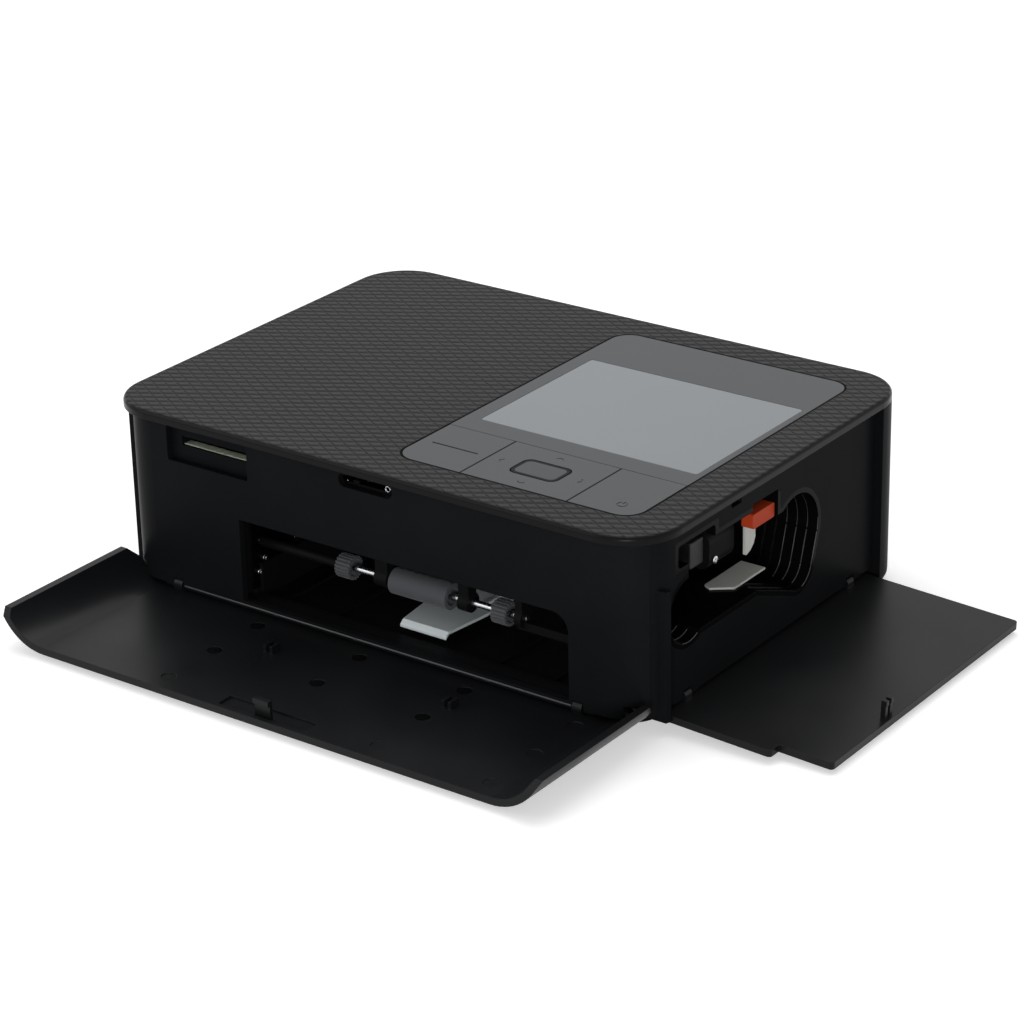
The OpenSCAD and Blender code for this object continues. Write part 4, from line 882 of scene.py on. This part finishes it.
class RibbonBayOperator(bpy.types.Operator):
    """Finishes the ribbon bay, its lever and its spindles"""
    bl_idname = "printer.ribbon_bay"
    bl_label = "Ribbon bay"

    def execute(self, context):
        dress(polished_abs, "ribbon_bay")
        dress(glass_nylon, "head_end_cap")
        dress(pale_acetal, "bay_strip", "latch_blade")
        dress(orange_acetal, "eject_lever")
        dress(acetal, "takeup_spindle", "supply_spindle")
        # pale beads along the edges of the steps are painted highlights, along both lobes
        sizes = context.scene.printer_sizes
        edge, thin = sizes.painted_light_edge / MM, sizes.painted_light_edge_rear / MM
        beads = []
        for step, top in enumerate(STEP_HIGHLIGHT_TO):
            x, shrink = FIRST_STEP_X - STEP_PITCH * step, STEP_SHRINK * step
            (rear, rear_radius), (heel, heel_radius), (front, front_radius) = (
                (middle, radius - shrink) for middle, radius in (REAR_LOBE, HEEL, FRONT_LOBE))
            beads.append(arc_bead(rear, x, rear_radius, HEEL_TURN, top, thin))
            beads.append(arc_bead(heel, x, heel_radius, HEEL_HIGHLIGHT_FROM, HEEL_TURN, edge))
            beads.append(self.straight(x, self.on_flank(rear, rear_radius),
                                       self.on_flank(heel, heel_radius), edge))
            beads.append(arc_bead(front, x, front_radius, *FRONT_HIGHLIGHT, edge))
        keep("step_edge_highlights", joined(beads), "printer_body", painted_highlight_abs)
        # a grey guard stands before the head's end cap, which is screwed on
        guard = block(*HEAD_GUARD, bevel=0.5, segments=3)
        keep("head_guard", guard, "print_head", grey_polycarbonate)
        screw = pan_screw(CAP_SCREW, ALONG_X, sizes.cap_screw / MM, SCREW_HEIGHT)
        keep("cap_screw", screw, "print_head", spring_steel)
        return {"FINISHED"}

    def on_flank(self, centre, radius):
        """The point of a circle where the straight flank of the mouth touches it."""
        turn = math.radians(HEEL_TURN)
        return centre[0] + radius * math.cos(turn), centre[1] + radius * math.sin(turn)

    def straight(self, x, first, last, radius):
        """A straight bead (mm) between two points of a plane across X."""
        along = (last[0] - first[0], last[1] - first[1])
        turn = (math.atan2(-along[0], along[1]), 0.0, 0.0)
        return rod((x, *first), math.hypot(*along), radius, turn, bevel=radius / 2, sides=12)


class DriveOperator(bpy.types.Operator):
    """Finishes the frame plates, the motor and the gears"""
    bl_idname = "printer.drive"
    bl_label = "Drive"

    def execute(self, context):
        dress(black_zinc, "left_frame_plate", "right_frame_plate", "gear_plate")
        # a black strip hides the gears' side of the left frame plate from the mouth
        keep("gear_shield", block(*GEAR_SHIELD), "printer_body", glass_nylon)
        dress(turned_steel, "gear_axles", "cross_bars", "motor_pinion")
        dress(nickel_can, "feed_motor")
        dress(acetal, "platen_gear", "feed_gear", "pickup_gear", "small_idler_gear",
              "large_idler_gear", "takeup_gear")
        return {"FINISHED"}


class HeadOperator(bpy.types.Operator):
    """Finishes the print head"""
    bl_idname = "printer.head"
    bl_label = "Print head"

    def execute(self, context):
        dress(turned_steel, "head_shaft")
        dress(zinc_sheet, "head_arm")
        dress(drawn_aluminium, "heat_sink")
        dress(glazed_alumina, "thermal_head")
        return {"FINISHED"}


class ElectronicsOperator(bpy.types.Operator):
    """Finishes the boards, the card reader, the sockets and the fan"""
    bl_idname = "printer.electronics"
    bl_label = "Electronics"

    def execute(self, context):
        dress(solder_mask, "main_board")
        dress(satin_abs, "card_reader")
        # pale contacts lie along the floor of the card slot
        plate = block(*CONTACT_PLATE, bevel=0.05)
        first = block(*FIRST_CONTACT, bevel=0.06)
        contacts = copies(first, [(CONTACT_PITCH * step, 0, 0) for step in range(1, CONTACTS)])
        keep("card_contacts", joined([plate, *contacts]), "printer_body", contact_board)
        dress(zinc_sheet, "usb_port")
        dress(glass_nylon, "dc_inlet", "fan_frame", "fan_rotor")
        return {"FINISHED"}


OPERATORS = (StageOperator, ShellOperator, CoversOperator, PanelOperator, PaperPathOperator,
             RibbonBayOperator, DriveOperator, HeadOperator, ElectronicsOperator)


class PrinterPanel(bpy.types.Panel):
    """Lists the steps that dress the printer"""
    bl_idname = "VIEW3D_PT_printer"
    bl_label = "Compact photo printer"
    bl_space_type = "VIEW_3D"
    bl_region_type = "UI"
    bl_category = "Printer"

    def draw(self, context):
        for made in OPERATORS:
            self.layout.operator(made.bl_idname)
        for owner, settings in SETTINGS.items():
            for name in settings.__annotations__:
                self.layout.prop(getattr(context.scene, owner), name)


SETTINGS = {
    "printer_colours": ColourSettings,
    "printer_sizes": SizeSettings,
    "printer_stage": StageSettings,
}
CLASSES = (*SETTINGS.values(), *OPERATORS, PrinterPanel)


def register():
    for made in CLASSES:
        bpy.utils.register_class(made)
    for owner, settings in SETTINGS.items():
        setattr(bpy.types.Scene, owner, bpy.props.PointerProperty(type=settings))


def unregister():
    for owner in SETTINGS:
        delattr(bpy.types.Scene, owner)
    for made in reversed(CLASSES):
        bpy.utils.unregister_class(made)


def main():
    """Makes every piece in order."""
    register()
    for made in OPERATORS:
        family, step = made.bl_idname.split(".")
        getattr(getattr(bpy.ops, family), step)()


if __name__ == "__main__":
    main()
